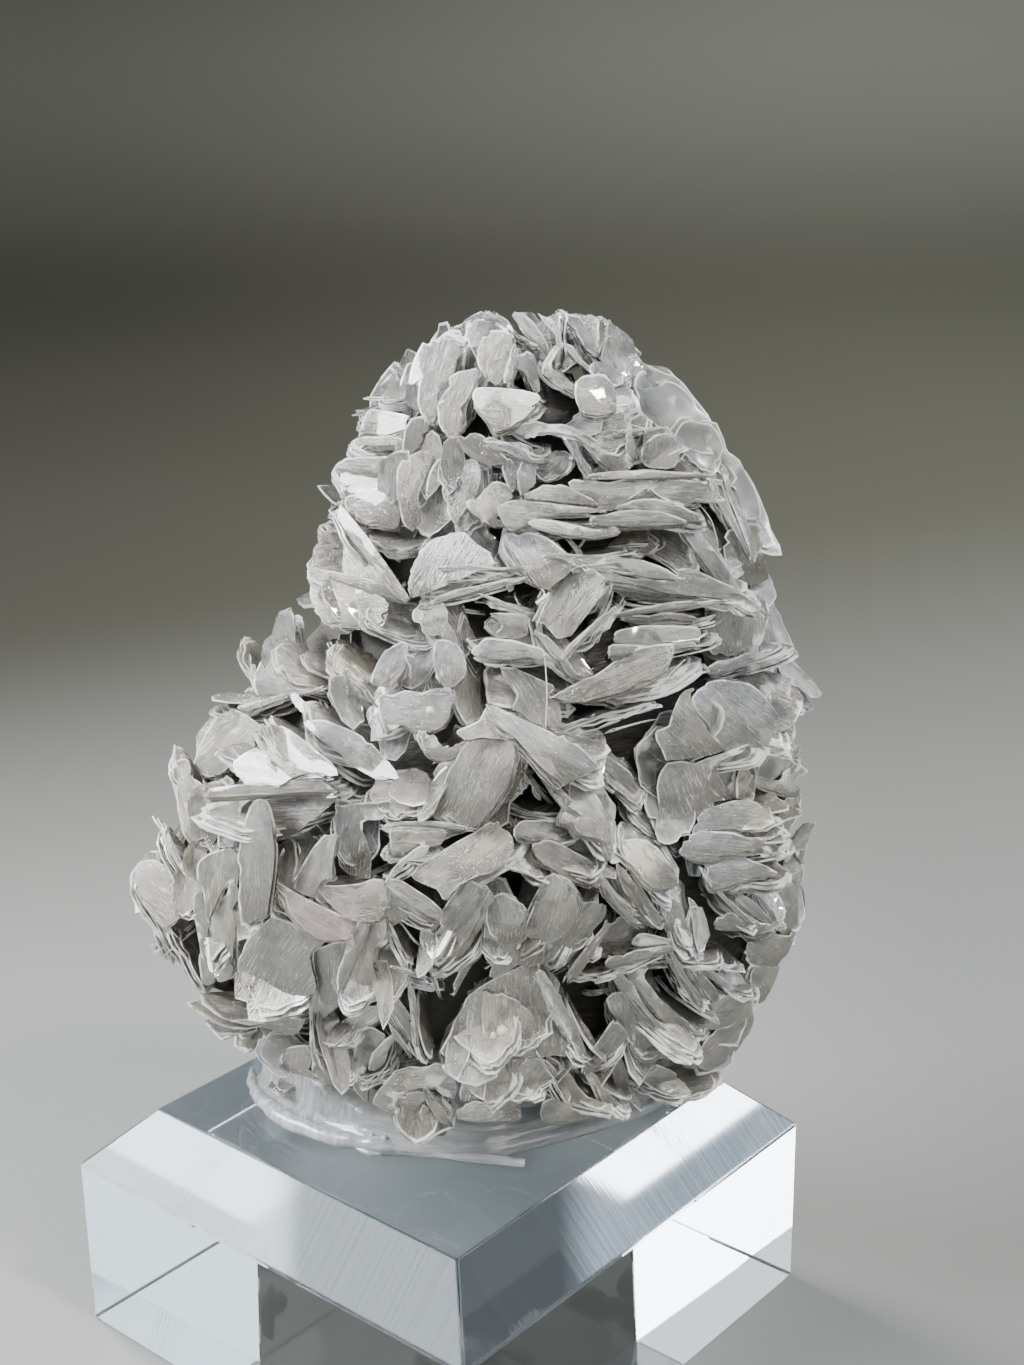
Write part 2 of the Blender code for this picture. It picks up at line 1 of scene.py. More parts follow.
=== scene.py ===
"""Mica crystal cluster on a clear block: its flakes, finishes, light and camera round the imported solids.

The flakes of the front are laid out on the plane Y = 0 as seen from FRONT_EYE, and
each is then pushed along its line of sight onto the swelling front of the cluster.
"""

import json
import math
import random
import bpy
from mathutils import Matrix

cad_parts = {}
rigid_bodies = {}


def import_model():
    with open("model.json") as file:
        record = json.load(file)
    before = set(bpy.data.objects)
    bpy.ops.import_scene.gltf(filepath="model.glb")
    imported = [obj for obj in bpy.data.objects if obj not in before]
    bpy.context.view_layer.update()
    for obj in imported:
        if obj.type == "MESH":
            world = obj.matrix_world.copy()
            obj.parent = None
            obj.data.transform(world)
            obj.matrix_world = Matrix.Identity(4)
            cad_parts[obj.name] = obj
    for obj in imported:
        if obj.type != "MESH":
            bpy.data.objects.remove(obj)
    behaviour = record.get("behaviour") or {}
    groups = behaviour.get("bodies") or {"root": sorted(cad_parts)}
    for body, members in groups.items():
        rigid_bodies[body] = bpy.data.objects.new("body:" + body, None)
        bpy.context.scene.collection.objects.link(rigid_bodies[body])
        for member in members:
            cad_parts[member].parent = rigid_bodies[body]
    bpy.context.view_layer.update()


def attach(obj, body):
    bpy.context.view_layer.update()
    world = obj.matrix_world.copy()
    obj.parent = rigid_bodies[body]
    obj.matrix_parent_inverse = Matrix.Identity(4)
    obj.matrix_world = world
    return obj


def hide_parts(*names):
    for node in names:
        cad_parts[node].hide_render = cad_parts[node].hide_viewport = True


bl_info = {
    "name": "Mica crystal",
    "version": (1, 0, 0),
    "blender": (4, 5, 0),
    "location": "3D View > Sidebar > Mica",
    "description": "Cluster of mica books in a clear resin foot on a clear bevelled block",
    "category": "Object",
}

import bmesh
import bpy
import numpy as np
from bpy.props import FloatProperty, FloatVectorProperty, IntProperty, PointerProperty
from mathutils import Matrix, Vector, noise
from mathutils.geometry import delaunay_2d_cdt

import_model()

MM = 0.001
BODY = "root"
FRONT_EYE = Vector((7.5, -176.0, 126.7))
# height on the layout plane, left edge, right edge, depth of the front
ENVELOPE_TABLE = np.array((
    (16.0, -9.0, 14.0, 12.5),
    (20.0, -14.0, 21.0, 13.5),
    (25.0, -17.0, 26.0, 14.5),
    (28.0, -17.9, 28.5, 15.5),
    (33.0, -22.0, 30.5, 16.5),
    (37.0, -25.0, 32.2, 17.5),
    (41.0, -27.0, 34.0, 18.0),
    (45.5, -28.3, 34.6, 18.5),
    (50.0, -27.0, 34.2, 18.5),
    (57.6, -23.5, 33.3, 18.0),
    (64.0, -17.0, 32.4, 16.5),
    (70.0, -13.5, 31.4, 15.0),
    (75.0, -10.5, 30.4, 13.5),
    (80.0, -9.0, 29.4, 12.0),
    (85.0, -7.5, 27.6, 10.5),
    (90.0, -5.2, 24.8, 9.0),
    (93.0, -3.0, 21.5, 7.5),
    (96.0, -0.4, 17.5, 5.5),
    (99.0, 7.0, 14.0, 2.5),
))

# Each plate of the front (mm and degrees):
# across, up, length, width, turn of its length, tilt about its length, thickness, forward
PLATES = (
    # crown: scales on the left, upright fan in the middle, clear plates on the right
    (1.7, 93.9, 7.6, 5.6, 80, 24, 0.9, 0.6),
    (6.0, 95.4, 7.2, 4.2, 72, 30, 0.8, 1.2),
    (3.2, 91.2, 6.2, 4.0, 80, 18, 0.9, 1.8),
    (-3.0, 89.9, 5.4, 4.6, 6, 66, 1.6, 0.4),
    (-3.6, 87.4, 5.4, 5.0, 4, 58, 1.8, 0.8),
    (-4.9, 85.2, 6.4, 5.6, 2, 52, 1.8, 0.4),
    (-4.2, 82.2, 6.8, 6.0, 4, 40, 1.4, 0.8),
    (-0.8, 84.0, 7.2, 4.6, 84, 16, 0.9, 1.2),
    (1.4, 83.2, 7.6, 4.2, 80, 22, 0.9, 1.8),
    (4.0, 83.0, 6.8, 4.4, 82, 10, 1.0, 2.2),
    (7.2, 91.2, 5.8, 4.4, -4, 36, 1.2, 1.6),
    (12.0, 96.4, 7.0, 6.0, 12, 20, 0.9, -1.2),
    (14.4, 96.4, 5.4, 4.4, -62, 66, 0.7, 0.8),
    (15.8, 95.8, 6.8, 4.8, -50, 24, 0.9, 0.0),
    (15.9, 91.6, 5.4, 4.8, -4, 34, 2.4, 1.6),
    (15.6, 88.6, 5.6, 5.2, 4, 8, 1.2, 1.0),
    (21.8, 90.4, 10.4, 5.2, -50, 30, 0.8, -0.4),
    (23.9, 87.2, 5.8, 4.6, -52, 20, 0.8, 0.4),
    (18.9, 85.2, 11.6, 7.0, 1, 76, 0.7, 1.8),
    (11.2, 88.9, 6.6, 5.4, 3, 74, 0.7, 1.4),
    (8.2, 87.7, 6.0, 5.0, -18, 62, 0.9, 1.2),
    (17.4, 83.4, 8.4, 5.2, -12, 36, 1.0, 0.8),
    (11.2, 82.9, 8.0, 5.6, 0, 64, 1.5, 1.6),
    (12.4, 80.9, 9.4, 6.2, -4, 70, 1.2, 1.2),
    (19.9, 81.3, 9.6, 6.4, -2, 66, 1.8, 1.8),
    (20.2, 82.9, 7.8, 5.6, -6, 58, 1.0, 1.4),
    (26.2, 82.4, 7.4, 5.0, -64, 66, 0.8, 0.6),
    (27.8, 82.2, 10.6, 5.0, -65, 34, 0.9, 0.0),
    # upper middle
    (8.9, 77.5, 6.0, 4.8, -55, 22, 1.0, 1.4),
    (5.4, 77.8, 5.6, 3.4, -62, 26, 0.9, 1.2),
    (2.3, 77.4, 8.2, 6.2, 58, 10, 0.9, 0.8),
    (4.8, 76.4, 8.2, 5.0, 1, 74, 1.0, 1.8),
    (3.4, 74.7, 9.8, 6.0, 13, 76, 1.0, 1.4),
    (16.2, 76.9, 12.2, 7.0, -7, 76, 0.8, 1.6),
    (21.2, 75.2, 17.2, 9.0, -8, 72, 1.7, 1.8),
    (21.7, 78.0, 5.4, 4.2, -20, 20, 0.8, -0.6),
    (25.4, 77.7, 7.2, 5.6, -52, 58, 1.2, 1.4),
    (29.4, 74.6, 5.6, 3.6, -60, 30, 0.8, -0.4),
    (-5.0, 78.2, 8.4, 5.2, -52, 68, 1.0, 1.6),
    (-6.0, 75.4, 8.6, 6.2, -12, 68, 1.1, 1.2),
    (-6.9, 77.3, 7.2, 6.6, 10, 14, 1.0, 0.4),
    (-6.4, 73.4, 8.2, 5.4, -10, 26, 1.0, 0.6),
    (-2.0, 79.4, 6.4, 4.6, 4, 48, 1.0, 0.6),
    (-2.6, 71.2, 7.4, 4.6, -18, 32, 0.9, 0.6),
    (1.7, 71.4, 7.4, 4.6, -62, 20, 0.9, 0.6),
    (12.0, 73.6, 6.6, 4.6, 56, 30, 1.2, 1.6),
    (11.9, 68.4, 6.6, 3.6, -50, 42, 1.0, 1.6),
    (14.8, 70.6, 7.0, 5.0, 44, 72, 0.7, 1.4),
    (15.9, 73.0, 4.4, 4.0, 70, 70, 0.7, 1.2),
    (21.6, 72.9, 11.4, 7.0, 5, 78, 0.9, 1.6),
    (21.4, 71.2, 7.6, 6.0, 2, 72, 1.2, 0.8),
    (20.8, 68.9, 9.0, 6.2, 6, 66, 1.1, 1.8),
    (18.2, 66.3, 12.4, 6.4, 12, 46, 1.4, 1.4),
    (7.6, 68.9, 7.4, 5.2, -3, 56, 1.5, 1.6),
    (7.4, 73.2, 5.6, 4.4, -16, 74, 0.7, 1.0),
    (9.2, 65.2, 8.4, 5.6, -20, 26, 0.9, 0.8),
    (2.6, 66.4, 8.4, 4.6, -75, 34, 1.0, 0.8),
    (15.6, 62.7, 10.0, 4.4, 15, 76, 0.7, 1.2),
    (27.8, 70.4, 6.6, 5.8, 88, -16, 1.2, 0.2),
    (31.0, 70.4, 6.4, 3.0, -72, 42, 0.9, 0.0),
    (28.2, 67.4, 9.4, 5.8, 15, 68, 1.3, 0.8),
    (32.6, 64.8, 7.0, 3.2, -62, 40, 0.9, 0.0),
    # left flank
    (-15.2, 67.2, 6.4, 3.6, -60, 30, 0.9, 0.0),
    (-12.4, 69.2, 6.0, 3.8, 78, 26, 0.9, 0.0),
    (-14.6, 64.2, 11.4, 6.4, 12, 66, 0.9, 0.4),
    (-10.6, 66.6, 6.2, 4.4, -30, 36, 0.9, 0.2),
    (-6.6, 67.2, 7.6, 4.6, -38, 40, 0.9, 0.6),
    (-2.4, 64.4, 8.0, 5.4, 60, 14, 0.9, 0.2),
    (-8.2, 60.5, 9.8, 5.0, -38, 40, 1.1, 1.6),
    (-11.4, 58.4, 10.4, 5.0, -36, 42, 1.1, 1.6),
    (-14.8, 58.0, 11.2, 5.4, -15, 50, 1.2, 1.2),
    (-14.6, 54.0, 13.4, 7.4, 5, 32, 1.3, 1.6),
    (-19.2, 60.0, 7.4, 5.0, 56, 26, 1.0, 0.0),
    (-22.4, 55.8, 7.4, 3.8, -80, 40, 1.0, 0.0),
    (-20.4, 52.6, 7.4, 4.6, 80, 24, 1.0, 0.4),
    (-17.0, 48.5, 13.2, 4.8, 88, 34, 1.0, 1.8),
    (-23.8, 48.3, 7.4, 4.4, -68, 62, 1.0, 0.6),
    (-26.8, 46.8, 6.0, 4.0, 70, 30, 1.0, 0.0),
    (-25.9, 43.2, 9.4, 3.6, -70, 40, 1.0, 0.0),
    (-22.6, 46.4, 9.0, 4.0, 82, 36, 1.0, 0.6),
    (-23.6, 39.4, 9.0, 3.4, -66, 46, 1.0, 0.2),
    (-20.5, 42.4, 9.6, 3.6, 86, 40, 1.0, 0.8),
    (-14.0, 47.0, 7.4, 3.6, 80, 44, 0.9, 0.6),
    (-11.8, 47.8, 7.4, 4.0, 62, 52, 0.9, 1.2),
    (-12.0, 43.2, 8.8, 4.6, -33, 54, 1.2, 1.8),
    (-8.2, 44.6, 6.8, 4.2, -5, 26, 1.1, 1.2),
    (-14.6, 37.6, 9.8, 9.0, 60, 16, 1.1, 1.2),
    (-17.4, 33.0, 10.6, 5.0, -14, 44, 1.1, 0.6),
    (-14.6, 28.0, 6.6, 5.0, 4, 20, 1.0, 0.2),
    # middle
    (3.0, 56.6, 8.6, 4.8, 64, 42, 1.1, 1.8),
    (6.3, 57.2, 7.4, 5.8, 58, 8, 1.0, 1.6),
    (10.4, 61.0, 11.6, 6.8, -24, 46, 1.7, 2.4),
    (12.6, 58.8, 7.4, 5.2, -34, 30, 1.1, 2.0),
    (11.2, 56.2, 8.0, 5.2, -47, 70, 0.8, 2.0),
    (9.9, 53.2, 7.4, 4.8, -8, 74, 0.8, 1.4),
    (-0.8, 51.9, 9.2, 5.4, 0, 60, 0.8, 1.8),
    (-3.0, 54.4, 6.8, 4.8, -5, 22, 0.9, 1.0),
    (-7.2, 51.2, 6.4, 5.6, 84, 12, 0.9, 1.0),
    (-2.4, 48.0, 5.4, 4.0, 38, 64, 0.9, 2.2),
    (4.0, 48.8, 10.6, 6.4, 25, 38, 1.1, 2.4),
    (8.2, 48.6, 6.4, 5.2, -38, 34, 1.0, 2.0),
    (10.2, 51.4, 7.2, 4.4, -10, 36, 0.9, 1.4),
    (12.2, 48.6, 7.4, 4.4, -20, 30, 1.0, 2.2),
    (14.6, 52.7, 7.6, 4.4, -62, 36, 1.2, 2.4),
    (19.9, 47.4, 8.4, 4.8, -52, 36, 1.6, 2.6),
    (22.8, 42.2, 7.6, 3.6, -72, 50, 1.3, 2.2),
    (17.0, 45.4, 8.2, 5.0, -52, 70, 0.9, 1.8),
    (18.8, 44.8, 8.0, 5.0, -49, 72, 0.9, 1.8),
    (17.4, 55.8, 6.6, 4.0, -42, 40, 0.9, -0.6),
    (19.4, 52.4, 6.0, 4.0, -48, 44, 0.9, -0.2),
    # right flank
    (29.0, 62.1, 9.2, 7.4, -30, 16, 1.1, 0.6),
    (23.0, 60.6, 7.8, 5.8, 60, 12, 0.9, 0.0),
    (20.4, 57.6, 7.2, 3.4, 84, -20, 0.9, -0.8),
    (22.0, 53.8, 8.4, 5.4, 80, -14, 0.9, 0.4),
    (25.8, 58.2, 9.0, 5.4, 12, 62, 0.9, 0.8),
    (31.8, 56.6, 5.4, 4.4, 40, 24, 0.9, 0.0),
    (28.0, 51.6, 8.6, 5.6, -5, 42, 1.5, 1.2),
    (28.4, 49.2, 8.4, 5.4, -3, 46, 1.3, 1.4),
    (28.6, 46.6, 8.0, 5.4, -4, 48, 1.3, 1.4),
    (27.9, 43.3, 7.0, 4.6, -37, 68, 0.8, 1.2),
    (30.8, 43.4, 6.8, 4.4, 130, -36, 0.9, 0.4),
    (29.2, 41.4, 7.0, 4.2, 172, -46, 0.9, 0.6),
    (33.6, 48.0, 5.6, 3.0, 80, -46, 0.9, 0.0),
    (33.4, 43.6, 7.0, 3.6, 84, -44, 0.9, 0.0),
    (32.0, 39.4, 6.2, 3.8, 66, -40, 0.9, 0.0),
    # row of upright petals
    (-7.6, 37.6, 9.4, 4.8, 82, 20, 1.0, 1.8),
    (-4.2, 38.6, 9.2, 4.2, 86, 8, 0.9, 1.2),
    (-3.6, 41.0, 7.4, 4.2, -68, 60, 0.9, 2.0),
    (-2.6, 43.8, 7.0, 4.6, -33, 50, 1.5, 2.2),
    (1.2, 42.8, 9.8, 4.8, 62, 42, 1.1, 2.6),
    (3.2, 40.2, 8.4, 4.4, 58, 44, 1.0, 2.0),
    (6.2, 41.4, 7.8, 4.4, 87, 6, 0.9, 1.8),
    (9.4, 42.0, 8.8, 4.8, 68, 34, 1.0, 2.2),
    (11.6, 40.4, 7.4, 3.8, 64, 44, 0.9, 1.6),
    (13.4, 41.4, 7.6, 4.0, 61, 38, 1.0, 1.8),
    (14.6, 39.2, 6.8, 4.4, 56, 70, 0.7, 1.6),
    (17.8, 40.0, 5.6, 4.0, 8, 28, 0.9, 0.2),
    # lower right: angular nested books
    (17.2, 37.6, 9.8, 6.2, 22, 60, 1.1, 2.0),
    (23.9, 38.4, 6.6, 5.4, -22, 56, 1.1, 1.4),
    (20.2, 32.4, 13.2, 6.2, -48, 58, 1.5, 1.8),
    (22.0, 33.0, 10.0, 5.2, -46, 62, 1.1, 0.8),
    (23.8, 35.4, 7.4, 5.0, -58, 66, 0.8, 1.0),
    (27.8, 35.2, 6.0, 4.4, -28, 60, 0.8, 0.8),
    (28.2, 31.4, 7.4, 5.0, 58, -20, 1.0, 0.4),
    (26.6, 27.6, 7.2, 4.6, 56, -26, 0.9, 0.2),
    (18.8, 31.6, 8.0, 5.2, -70, 24, 0.9, 0.0),
    (16.8, 28.8, 6.6, 4.0, 58, 44, 1.0, 1.0),
    (16.0, 24.6, 7.6, 4.2, -55, 60, 1.0, 1.6),
    (20.0, 25.2, 7.4, 4.6, -30, 30, 0.9, 0.6),
    (23.6, 24.0, 7.0, 4.4, 20, 26, 0.9, 0.2),
    # bottom front
    (6.9, 32.2, 10.2, 10.0, 80, 14, 1.1, 1.6),
    (12.0, 31.6, 10.8, 4.6, -66, 58, 1.1, 2.2),
    (4.8, 31.0, 8.0, 6.2, 84, 12, 1.0, 2.6),
    (5.6, 26.6, 8.4, 5.6, 78, 24, 1.1, 2.8),
    (9.2, 25.6, 6.4, 4.8, 42, 22, 1.0, 3.0),
    (10.6, 25.8, 7.0, 4.4, -62, 66, 0.9, 3.2),
    (12.6, 23.8, 8.2, 4.4, -26, 52, 1.1, 2.4),
    (-2.6, 23.2, 8.2, 8.0, 88, 12, 1.2, 2.2),
    (-3.2, 31.8, 7.0, 3.6, -66, 54, 1.2, 1.6),
    (-1.8, 31.6, 7.4, 4.0, -86, 66, 0.8, 1.6),
    (-2.4, 36.2, 5.6, 3.8, -22, 52, 1.0, 1.4),
    (-11.0, 32.6, 12.4, 4.4, -88, 30, 1.1, 1.2),
    (-8.0, 31.6, 7.0, 4.4, 38, 32, 1.0, 1.6),
    (-8.2, 27.4, 6.8, 4.0, 64, 44, 1.1, 2.0),
    (-5.6, 27.0, 6.6, 4.0, 55, 52, 1.2, 2.0),
)

# Small plates of the front, in the same columns
SMALL_PLATES = (
    (4.6, 97.0, 4.6, 3.0, 62, 40, 0.7, 0.0),
    (-1.6, 92.2, 4.6, 4.0, 12, 62, 1.1, 0.0),
    (-0.6, 87.8, 4.4, 3.4, 74, 20, 0.8, 1.4),
    (7.7, 97.5, 4.6, 4.0, -37, 72, 0.8, 0.4),
    (9.6, 97.4, 4.4, 4.0, -55, 72, 0.7, 0.4),
    (7.7, 94.6, 4.2, 3.6, 85, 70, 0.7, 1.4),
    (11.9, 93.2, 4.4, 3.6, -40, 72, 0.8, 1.2),
    (18.9, 93.8, 3.8, 2.8, -60, 20, 0.8, 0.0),
    (20.6, 86.9, 4.6, 4.4, 20, 12, 0.8, 0.6),
    (8.3, 85.6, 4.0, 3.4, 84, 14, 0.8, 1.2),
    (11.2, 85.4, 4.0, 3.0, 30, 24, 0.7, 0.8),
    (18.4, 78.3, 4.6, 3.6, 10, 20, 0.8, -0.8),
    (-8.4, 79.9, 3.0, 2.6, 30, 20, 0.8, 0.0),
    (7.6, 71.2, 4.2, 3.4, -8, 22, 0.8, -0.6),
    (4.6, 53.6, 3.8, 3.6, -64, 68, 0.7, 1.8),
    (24.8, 54.4, 4.0, 3.6, -66, 62, 0.8, 0.8),
    (28.8, 55.4, 4.2, 2.6, 84, -18, 0.8, 0.4),
    (11.8, 96.6, 5.2, 4.4, 88, 70, 0.7, 0.8),
    (9.8, 94.0, 5.2, 3.4, -60, 38, 0.8, 0.4),
    (13.9, 87.0, 4.8, 4.0, -74, 70, 0.7, 1.6),
    (28.2, 78.0, 5.2, 3.4, 80, -24, 0.8, 0.0),
    (-2.2, 49.6, 5.2, 4.2, 0, 16, 0.8, 1.4),
    (32.6, 52.6, 5.0, 3.4, 72, -34, 0.9, 0.0),
)

# Sheets of the front, drawn as they look through the camera, on boards.
# A sheet: how far forward, its slopes (forward towards +X, and back towards its top),
# the direction of its grain (degrees), leaves, tone, and its outline
# as x to the right and y down from the board's corner, BOARD_SCALE of them to a pixel.
FRAME_SIZE = (1024.0, 1365.0)
BOARD_SCALE = 4.4
CROWN_LEFT_SHEETS = (
    (2, 0.1, 0.2, 70, 2, 1.05, (385, 345, 430, 210, 490, 170, 550, 160, 620, 175, 640, 200, 600, 260,
     580, 330, 530, 420, 500, 540, 480, 550, 440, 500, 420, 430, 430, 350, 400, 375)),
    (2.8, 0.1, 0.2, 70, 2, 0.95, (575, 330, 690, 300, 690, 360, 640, 480, 640, 560, 600, 600, 560, 600,
     530, 560, 515, 490, 530, 430, 570, 380)),
    (1.6, 0.2, 0.2, 70, 1, 0.95, (640, 150, 660, 110, 700, 80, 740, 100, 810, 110, 850, 150, 840, 240,
     770, 370, 720, 330)),
    (2.6, 0.2, 0.2, 70, 2, 0.95, (690, 220, 720, 160, 770, 130, 830, 140, 850, 170, 840, 250, 790, 370,
     740, 350, 700, 300)),
    (3, 0, 0, 82, 2, 1.4, (845, 190, 860, 220, 855, 290, 840, 370, 820, 385, 805, 340)),
    (2.4, 0, 0, -45, 2, 1.4, (700, 95, 715, 80, 760, 110, 735, 137)),
    (2.2, 0, 0, -42, 2, 1.3, (740, 65, 800, 60, 900, 160, 975, 205, 960, 227, 900, 202, 780, 87)),
    (1.8, 0, 0, -50, 2, 1.25, (850, 65, 900, 60, 960, 120, 1010, 200, 1030, 262, 1000, 242)),
    (1.4, 0, 0, -70, 1, 1.25, (950, 60, 1000, 75, 1050, 120, 1060, 200, 1050, 300, 1030, 262, 1035, 152)),
    (1.4, 0, 0, -50, 2, 1.25, (1050, 60, 1110, 60, 1160, 90, 1232, 230, 1210, 252, 1160, 202, 1120, 132)),
    (1.6, 0, 0, -45, 1, 1.3, (1060, 190, 1110, 200, 1150, 260, 1200, 310, 1180, 322, 1080, 222)),
    (3.8, 0, 0.3, -8, 4, 1.35, (672, 430, 720, 380, 960, 410, 940, 470, 900, 520, 790, 580, 750, 550)),
    (3.6, 0, 0, -8, 2, 1.25, (790, 580, 950, 530, 1120, 560, 1232, 630, 1060, 582, 960, 582, 900, 602,
     850, 582)),
    (3.4, 0, 0, -20, 3, 1.2, (725, 620, 760, 600, 900, 650, 1010, 710, 930, 702, 860, 672, 780, 662)),
    (3.4, 0, 0.2, -5, 4, 1.25, (1120, 380, 1150, 340, 1200, 325, 1260, 330, 1300, 380, 1310, 460, 1280, 500,
     1200, 510, 1140, 480)),
    (2.2, 0, 0, -60, 1, 0.95, (850, 270, 890, 230, 940, 240, 970, 400, 930, 390, 900, 330, 860, 300)),
    (2.6, 0, 0, -40, 1, 1.3, (970, 310, 1030, 200, 1040, 232, 1012, 300, 1110, 370, 1115, 400, 1050, 372)),
    (1.6, 0, 0, 0, 4, 1.2, (200, 500, 250, 480, 400, 510, 350, 590, 200, 587, 170, 602)),
    (2, 0, 0, 0, 3, 1.15, (145, 620, 200, 600, 350, 603, 350, 640, 200, 642, 165, 662)),
    (2, 0, 0, 70, 1, 1.05, (360, 590, 400, 520, 470, 510, 475, 560, 450, 620, 365, 700)),
    (2.2, 0, 0, 0, 3, 1.15, (65, 740, 90, 705, 150, 690, 330, 690, 340, 760, 200, 762)),
    (1.6, 0, 0.2, 0, 2, 1, (90, 760, 200, 770, 330, 770, 340, 850, 200, 840, 110, 870)),
    (2, 0, 0.1, 0, 3, 1.05, (110, 880, 170, 835, 240, 825, 310, 850, 350, 900, 350, 1000, 260, 1000, 180, 980,
     130, 940)),
    (2.8, 0.1, 0.1, 78, 1, 1, (335, 800, 350, 720, 400, 680, 460, 660, 500, 700, 440, 850, 450, 920,
     440, 1000, 380, 1000, 345, 900)),
    (3.2, 0.1, 0.1, 60, 1, 0.95, (480, 750, 530, 690, 570, 670, 600, 700, 500, 840, 460, 860)),
    (3.2, 0.1, 0.2, 72, 2, 1, (545, 800, 650, 700, 700, 720, 710, 800, 690, 860, 660, 900, 620, 1000,
     580, 970, 550, 900)),
    (3.6, 0, 0.1, -35, 2, 1, (598, 610, 640, 590, 720, 590, 830, 700, 800, 740, 660, 690)),
    (2.8, 0, 0.1, -40, 2, 1, (640, 890, 700, 860, 760, 800, 830, 810, 850, 870, 810, 900, 790, 960, 830, 1000,
     740, 990, 680, 950)),
    (3.2, 0, 0, 85, 1, 1.05, (800, 740, 830, 695, 860, 720, 870, 790, 850, 850, 820, 800)),
    (3, 0, 0, 85, 1, 0.95, (870, 710, 910, 695, 950, 720, 955, 800, 920, 850, 880, 860)),
)
